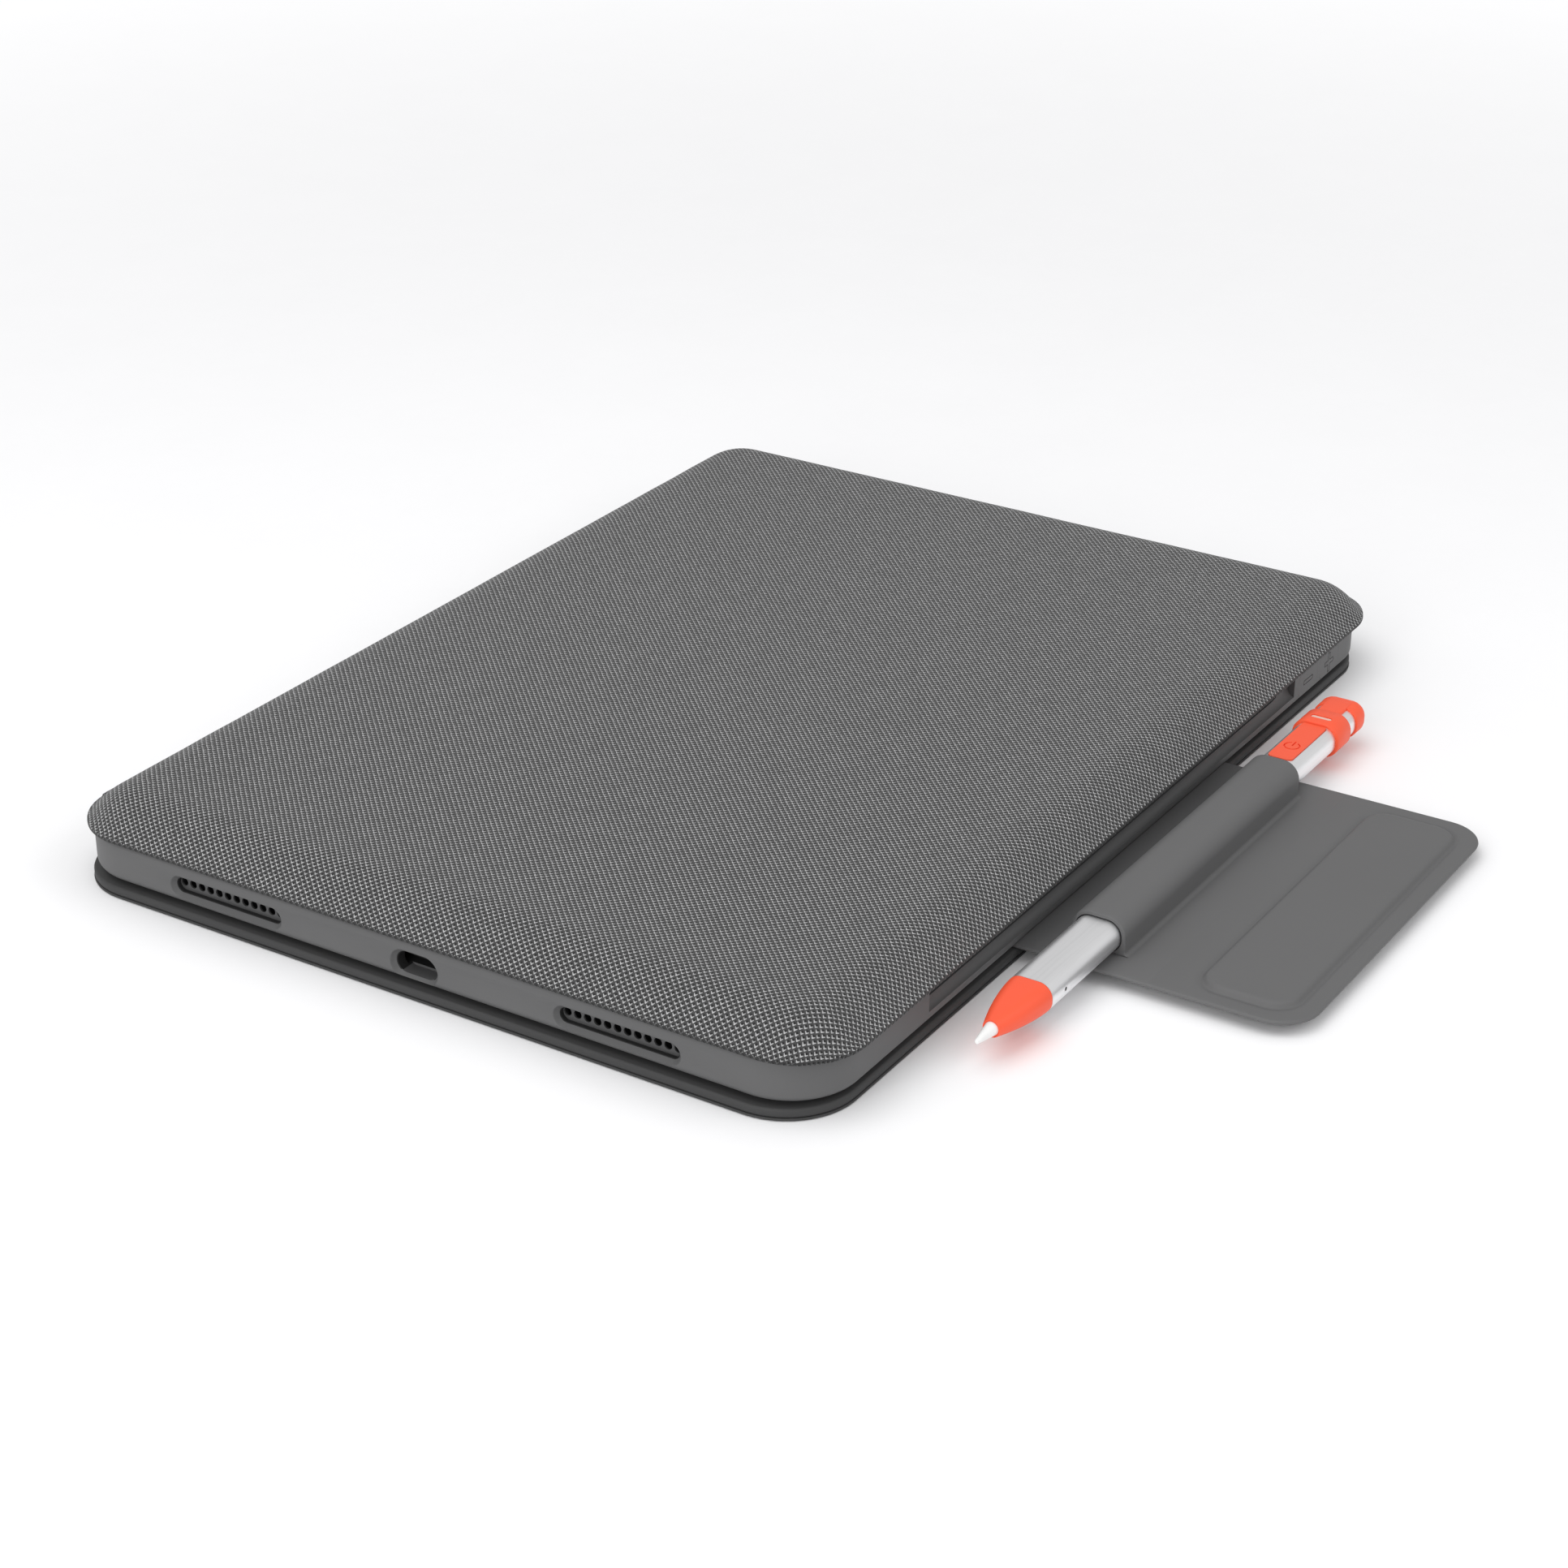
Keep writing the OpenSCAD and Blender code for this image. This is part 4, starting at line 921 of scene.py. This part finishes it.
def build_tab(y_start, fold):
    """The tab: a rounded sheet with an embossed pad inside a soft border."""
    x0, x1 = FLAP_X
    y0 = TAB_LOW.y
    free_r = 9.0
    root_r = 0.02
    border = 4.0
    pad_y1 = fold.y - 0.9
    half = (FLAP_TOP - FLAP_Z) / 2
    mid = (FLAP_Z + FLAP_TOP) / 2

    def outline(inset):
        found = []
        for cx, cy, r, start in (
            (x1 - free_r, y0 + free_r, free_r - inset, -90), (x1 - root_r, y_start - root_r, root_r, 0),
            (x0 + root_r, y_start - root_r, root_r, 90), (x0 + free_r, y0 + free_r, free_r - inset, 180),
        ):
            for i in range(CORNER_STEPS + 1):
                a = math.radians(start + 90 * i / CORNER_STEPS)
                side = inset if r < 1 else 0
                found.append(Vector((cx + r * math.cos(a) - math.copysign(side, cx), cy + r * math.sin(a))))
        return found

    def pad(inset):
        r = max(6.5 - inset, 2.0)
        return [p for p, _ in rounded_outline(x0 + border + inset, x1 - border - inset, y0 + border + inset,
                                              pad_y1 - inset, r)]

    def ring(flat, z):
        return [Vector((p.x, p.y, z)) for p in flat]

    edge = [(half, mid - half)] + [(half * (1 - math.sin(math.radians(a))),
                                    mid - half * math.cos(math.radians(a)))
                                    for a in (30, 60, 90, 120, 150)] + [(half, mid + half)]
    rim = outline(half)
    start_pad = pad(0)
    between = [[a.lerp(b, k / 9) for a, b in zip(rim, start_pad)] for k in range(1, 9)]
    rings = [ring(start_pad, FLAP_Z)] + [ring(f, FLAP_Z) for f in between[::-1]]
    rings += [ring(outline(inset), z) for inset, z in edge]
    rings += [ring(f, FLAP_TOP) for f in between]
    emboss = [(0.0, -0.16), (0.3, -0.26), (0.6, -0.14), (0.9, 0.22), (1.2, 0.56), (1.5, 0.80), (1.9, 0.94),
              (2.6, 0.98)]
    rings += [ring(pad(inset), FLAP_TOP + rise) for inset, rise in emboss]
    piece = new_object("flap_tab_skin", *loft_mesh(rings), sharp=55)
    finished(piece, FLAP_SKIN, None, "flap_skin", "tab_sheet", "tab_board", "tab_magnets", "flap_wrap")
    blend_over(piece)


def sleeve_line(lean):
    """Outside of the pen loop in the YZ plane, from its outer foot over the top to its root.

    With lean 0 the root side hugs the pen, as at the mouths. With lean 1 it slopes down to the flap's root."""
    wall = 0.8
    r = PEN_R + PEN_GAP + wall
    top = SLEEVE_HIGH.z
    y_out = SLEEVE_LOW.y
    y_in = PEN_Y + PEN_W / 2 + PEN_GAP

    def between(hugging, sloping):
        return hugging + (sloping - hugging) * lean

    foot = arc(y_out - 0.9, FLAP_TOP + 0.9, 0.9, -90, 0, 5)
    shoulder = arc(y_out + r, top - r, r, 180, 90, 12)
    turn = arc(y_in + wall - r, top - r, r, 90, 40, 8)
    end = turn[-1]
    root = between(y_in + wall + 2.5, SLEEVE_HIGH.y)
    low = (root - between(0.9, 1.5), FLAP_TOP + between(0.6, 0.45))
    slope = [(end[0] + (low[0] - end[0]) * k / 5, end[1] + (low[1] - end[1]) * k / 5) for k in range(1, 6)]
    return foot + shoulder + turn + slope + [
        (root - 0.6, FLAP_TOP + between(0.3, 0.15)), (root, FLAP_TOP + 0.01)]


def build_pen_loop():
    """The loop: a sheet folded over the pen, hollow, with rounded mouths."""
    x0, x1 = SLEEVE_LOW.x, SLEEVE_HIGH.x
    edge, pinched = 0.3, 14
    middle = Vector((PEN_Y, PEN_Z))
    stops = [(0.0, edge), (edge * 0.13, edge * 0.5), (edge * 0.5, edge * 0.13), (edge, 0.0)]
    stops += [(pinched * k / 10, 0.0) for k in range(1, 11)] + [((x1 - x0) / 2, 0.0)]
    stops += [(x1 - x0 - run, inset) for run, inset in stops[-2::-1]]
    rings = []
    for run, inset in stops:
        line = sleeve_line(smooth(min(run, x1 - x0 - run) / pinched))
        rings.append([Vector((x0 + run, *shrunk(q, middle, inset))) for q in line])
    loop = new_object("pen_loop_skin", *loft_mesh(rings), sharp=40)
    hole = rounded_outline(PEN_Y - PEN_W / 2 - PEN_GAP, PEN_Y + PEN_W / 2 + PEN_GAP,
                           PEN_Z - PEN_H / 2 - PEN_GAP,
                           PEN_Z + PEN_H / 2 + PEN_GAP, PEN_R + PEN_GAP, 10)
    mouth = [[Vector((x, p.x, p.y)) for p, _ in hole] for x in (x0 - 1, x1 + 1)]
    cut(loop, new_object("cutter", *loft_mesh(mouth)))
    tidy_normals(loop, 40)
    finished(loop, FLAP_SKIN, "flap_loop", "flap_skin", "pen_sleeve")


def build_flap():
    root = fold_line("flap_root_fold")
    wrap = fold_line("flap_wrap_fold")
    tab = fold_line("flap_tab_fold")
    anchor_end = span("flap_anchor")[1].y
    mid_loop = (root.y + wrap.y) / 2
    mid_wrap = (wrap.y + tab.y) / 2
    first = flap_strip("flap_root_skin", anchor_end, mid_loop)
    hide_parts("flap_anchor", "flap_sheet")
    flap_strip("flap_wrap_skin", mid_loop, mid_wrap)
    build_tab(mid_wrap, tab)
    build_pen_loop()


# ---- Stylus ----


def pen_ring(x, grow, r=None, squeeze=1.0):
    """Rounded section of the pen at x, grown by grow millimetres."""
    a, b = PEN_W / 2 + grow, (PEN_H / 2 + grow) * squeeze
    radius = min(r if r is not None else PEN_R + grow, a - 0.01, b - 0.01)
    return [Vector((x, PEN_Y + p.x, PEN_Z + p.y))
            for p, _ in rounded_outline(-a, a, -b, b, max(radius, 0.02), 14)]


def build_nose():
    """Bullet-shaped grip between the barrel and the tip."""
    x1 = BARREL_LOW.x
    x0 = PEN_TIP_X + TIP_L - 2
    steps = 28
    rings = [pen_ring(x1, -0.6), pen_ring(x1 - 0.05, -0.1)]
    for i in range(steps + 1):
        t = i / steps
        k = 1 - t ** 1.7
        a = TIP_R + (PEN_W / 2 - TIP_R) * k
        b = TIP_R + (PEN_H / 2 - TIP_R) * k
        r = min(a, b) * (0.9 + 0.09 * t)
        x = x1 - 0.12 - t * (x1 - x0 - 0.12)
        rings.append([Vector((x, PEN_Y + p.x, PEN_Z + p.y)) for p, _ in rounded_outline(-a, a, -b, b, r, 14)])
    for grow, x in ((0.25, x0 + 0.0), (0.45, x0 + 0.15), (0.5, x0 + 0.8)):
        a = TIP_R - grow
        rings.append([Vector((x, PEN_Y + p.x, PEN_Z + p.y))
                      for p, _ in rounded_outline(-a, a, -a, a, a - 0.01, 14)])
    finished(new_object("stylus_grip", *loft_mesh(rings), sharp=50), ORANGE, "stylus", "orange_rubber",
             "stylus_nose")


def build_tip():
    """White cone with a small round end."""
    end_r, base_r = 0.55, TIP_R - 0.42
    line = [(end_r * (1 - math.cos(math.radians(a))), end_r * math.sin(math.radians(a)))
            for a in range(8, 81, 8)]
    line += [(2.2, 0.86), (4.2, 1.18), (TIP_L - 2, base_r), (TIP_L + 3, base_r)]
    rings = []
    for run, r in line:
        ring = arc(0, 0, r, 0, 352.5, 47)
        rings.append([Vector((PEN_TIP_X + run, PEN_Y + y, PEN_Z + z)) for y, z in ring])
    finished(new_object("stylus_point", *loft_mesh(rings), sharp=50), WHITE_TIP, "stylus", "white_tip",
             "stylus_tip")


def build_cap():
    """Strap ring with its light window, the bridge and the domed end cap."""
    ring_x0, end = CAP_LOW.x, CAP_HIGH.x
    ring_x1 = ring_x0 + 7.3
    cap_x0 = end - 6.5
    strap, edge = 0.75, 0.35
    rings = [pen_ring(ring_x0, 0.02), pen_ring(ring_x0, strap - edge),
             pen_ring(ring_x0 + edge * 0.3, strap - edge * 0.3),
             pen_ring(ring_x0 + edge, strap)]
    rings += [pen_ring(ring_x1 - edge, strap), pen_ring(ring_x1 - edge * 0.3, strap - edge * 0.3),
              pen_ring(ring_x1, strap - edge), pen_ring(ring_x1, 0.02)]
    strap_piece = new_object("stylus_strap", *loft_mesh(rings), sharp=55)
    slot_low, slot_high = span("stylus_window")
    window = rounded_outline(slot_low.x - 0.12, slot_high.x + 0.12, slot_low.y - 0.12, slot_high.y + 0.12,
                             0.7, 8)
    cutter = new_object("cutter", *loft_mesh([at_height(window, PEN_Z + PEN_H / 2 + 0.2),
                                              at_height(window, PEN_Z + 9)]))
    cut(strap_piece, cutter)
    tidy_normals(strap_piece, 45)
    finished(strap_piece, ORANGE, "stylus", "orange_rubber", "stylus_cap")

    dome = []
    for x, grow in (
        (cap_x0, 0.02), (cap_x0, 0.3), (cap_x0 + 0.15, 0.45), (cap_x0 + 0.4, 0.5), (end - 3.2, 0.5),
    ):
        dome.append(pen_ring(x, grow))
    for i in range(1, 9):
        a = math.radians(80 * i / 8)
        grow = 0.5 - 2.6 * (1 - math.cos(a))
        dome.append(pen_ring(end - 3.2 + 3.2 * math.sin(a) / math.sin(math.radians(80)), grow,
                             PEN_R + grow * 0.6))
    cap = new_object("stylus_end_cap", *loft_mesh(dome), sharp=55)
    finished(cap, ORANGE, "stylus", "orange_rubber")

    half = 2.7
    top = PEN_Z + PEN_H / 2
    section = [(PEN_Y - half, top - 0.4), (PEN_Y - half, top + 0.32)]
    section += arc(PEN_Y - half + 0.3, top + 0.32, 0.3, 180, 90, 4)
    section += arc(PEN_Y + half - 0.3, top + 0.32, 0.3, 90, 0, 4) + [(PEN_Y + half, top - 0.4)]
    bridge = new_object("stylus_bridge", *loft_mesh(along_x(section, ring_x1 - 0.5, end - 4, 0.25)), sharp=45)
    finished(bridge, ORANGE, "stylus", "orange_rubber")


def build_side_hole():
    """Black cup behind the small hole in the barrel's side: painted shade inside the hole."""
    x, y, r = BARREL_LOW.x + 5.5, PEN_Y - PEN_W / 2, 0.44
    rings = [[Vector((x + px, depth, PEN_Z + pz)) for px, pz in arc(0, 0, radius, 0, 337.5, 15)]
             for depth, radius in ((y + 0.25, r), (y + 0.7, r), (y + 0.7, r * 0.5), (y + 0.4, r * 0.4))]
    finished(new_object("side_hole_shade_cup", *loft_mesh(rings)), BLACK_RUBBER_AND_HOLE_SHADE, "stylus", "dark_rubber")


def build_stylus():
    build_nose()
    build_tip()
    build_cap()
    build_side_hole()
    dress("stylus_barrel", BARREL_METAL)
    dress("stylus_button", ORANGE, 0.12)
    dress("stylus_window", PALE_WINDOW, 0.1)
    dress("stylus_cell", CELL_FOIL)


# ---- Keyboard and inner pieces that keep their CAD shape ----

KEY_NODES = [
    "function_keys", "number_keys", "backspace_key", "tab_key", "upper_keys", "caps_key", "home_keys",
    "return_key",
    "left_shift_key", "lower_keys", "right_shift_key", "modifier_keys", "space_bar", "arrow_keys",
]
PLAIN_NODES = {
    "keyboard_deck": (DECK_PLASTIC, 0.15), "keyboard_tray": (DARK_PLASTIC_AND_PAINTED_SHADE, 0.0),
    "cover_hem": (INNER_SKIN, 0.1),
    "key_plate": (STEEL, 0.1), "backlight_sheet": (LIGHT_GUIDE, 0.05), "control_board": (CIRCUIT, 0.05),
    "battery_cells": (CELL_FOIL, 0.3), "charge_port": (STEEL, 0.0), "status_light": (STATUS_LAMP, 0.1),
    "deck_magnets": (NICKEL, 0.1), "deck_screws": (STEEL, 0.05), "dock_rest": (BLACK_RUBBER_AND_HOLE_SHADE, 0.25),
    "bay_liner": (INNER_SKIN, 0.1), "camera_ring": (DARK_PLASTIC_AND_PAINTED_SHADE, 0.3), "dock_magnets": (NICKEL, 0.1),
    "mount_pad": (BLACK_RUBBER_AND_HOLE_SHADE, 0.2), "spine_board": (BOARD_FIBRE, 0.1), "spine_lining": (INNER_SKIN, 0.1),
}


def build_inner_pieces():
    for name in KEY_NODES:
        dress(name, KEY_PLASTIC, 0.3, 3)
    for name, (material, edge) in PLAIN_NODES.items():
        dress(name, material, edge, 2)


# ---- Studio ----


def whiten_far_floor(material):
    """Lift the floor to white well away from the part, for the camera alone, so it lights nothing."""
    tree = material.node_tree
    shader = next(node for node in tree.nodes if node.type == "BSDF_PRINCIPLED")
    place = add_node(tree, "ShaderNodeNewGeometry")
    away = add_node(tree, "ShaderNodeVectorMath", operation="LENGTH")
    tree.links.new(place.outputs["Position"], away.inputs[0])
    seen = add_node(tree, "ShaderNodeLightPath")
    far = soft_step(tree, away.outputs["Value"], 0.3, 1.3)
    glow = maths(tree, "MULTIPLY", maths(tree, "MULTIPLY", far, seen.outputs["Is Camera Ray"]), 0.4)
    tree.links.new(glow, shader.inputs["Emission Strength"])
    shader.inputs["Emission Color"].default_value = (1, 1, 1, 1)


def build_studio():
    floor_mesh = bpy.data.meshes.new("studio_floor")
    reach, below = 4, -0.0002
    corners = [(-reach, -reach, below), (reach, -reach, below), (reach, reach, below), (-reach, reach, below)]
    floor_mesh.from_pydata(corners, [], [(0, 1, 2, 3)])
    floor = bpy.data.objects.new("studio_floor", floor_mesh)
    bpy.context.scene.collection.objects.link(floor)
    floor_mesh.materials.append(grained_material("pale studio floor", grey(0.97), 0.9, 6.0, 0.01, 0.0, 0.1))
    whiten_far_floor(floor_mesh.materials[0])

    world = bpy.data.worlds.new("studio")
    world.use_nodes = True
    world.node_tree.nodes["Background"].inputs[0].default_value = (1, 1, 1, 1)
    seen = add_node(world.node_tree, "ShaderNodeLightPath")
    strength = maths(world.node_tree, "MULTIPLY_ADD", seen.outputs["Is Camera Ray"], 0.5, 0.64)
    world.node_tree.links.new(strength, world.node_tree.nodes["Background"].inputs[1])
    bpy.context.scene.world = world

    for name, place, size, power, aim in (
        ("broad light over the cover", (-0.4, 0.12, 1.15), 1.0, 5.0, (0, 0, 0)),
        ("light on the port side", (-1.2, -0.1, 0.45), 0.8, 5.0, (0, 0, 0)),
        ("light on the flap side", (0.2, -1.1, 0.9), 0.8, 2.8, (0, -0.1, 0)),
    ):
        lamp = bpy.data.lights.new(name, "AREA")
        lamp.size = size
        lamp.energy = power
        holder = bpy.data.objects.new(name, lamp)
        holder.location = place
        holder.rotation_euler = (Vector(aim) - Vector(place)).to_track_quat("-Z", "Y").to_euler()
        bpy.context.scene.collection.objects.link(holder)


def build_camera():
    lens = bpy.data.cameras.new("main view")
    lens.lens = 75.07
    lens.sensor_width = 36
    lens.clip_start = 0.01
    camera = bpy.data.objects.new("main view", lens)
    camera.location = (-0.56231, -0.36276, 0.33203)
    camera.rotation_euler = (math.radians(63.15), 0, math.radians(-57.6))
    bpy.context.scene.collection.objects.link(camera)
    bpy.context.scene.camera = camera
    bpy.context.scene.view_settings.view_transform = "Standard"


build_camera()
build_studio()
build_cover()
build_holder()
build_slot_grilles()
build_back_panel()
build_spine()
build_flap()
build_stylus()
build_inner_pieces()
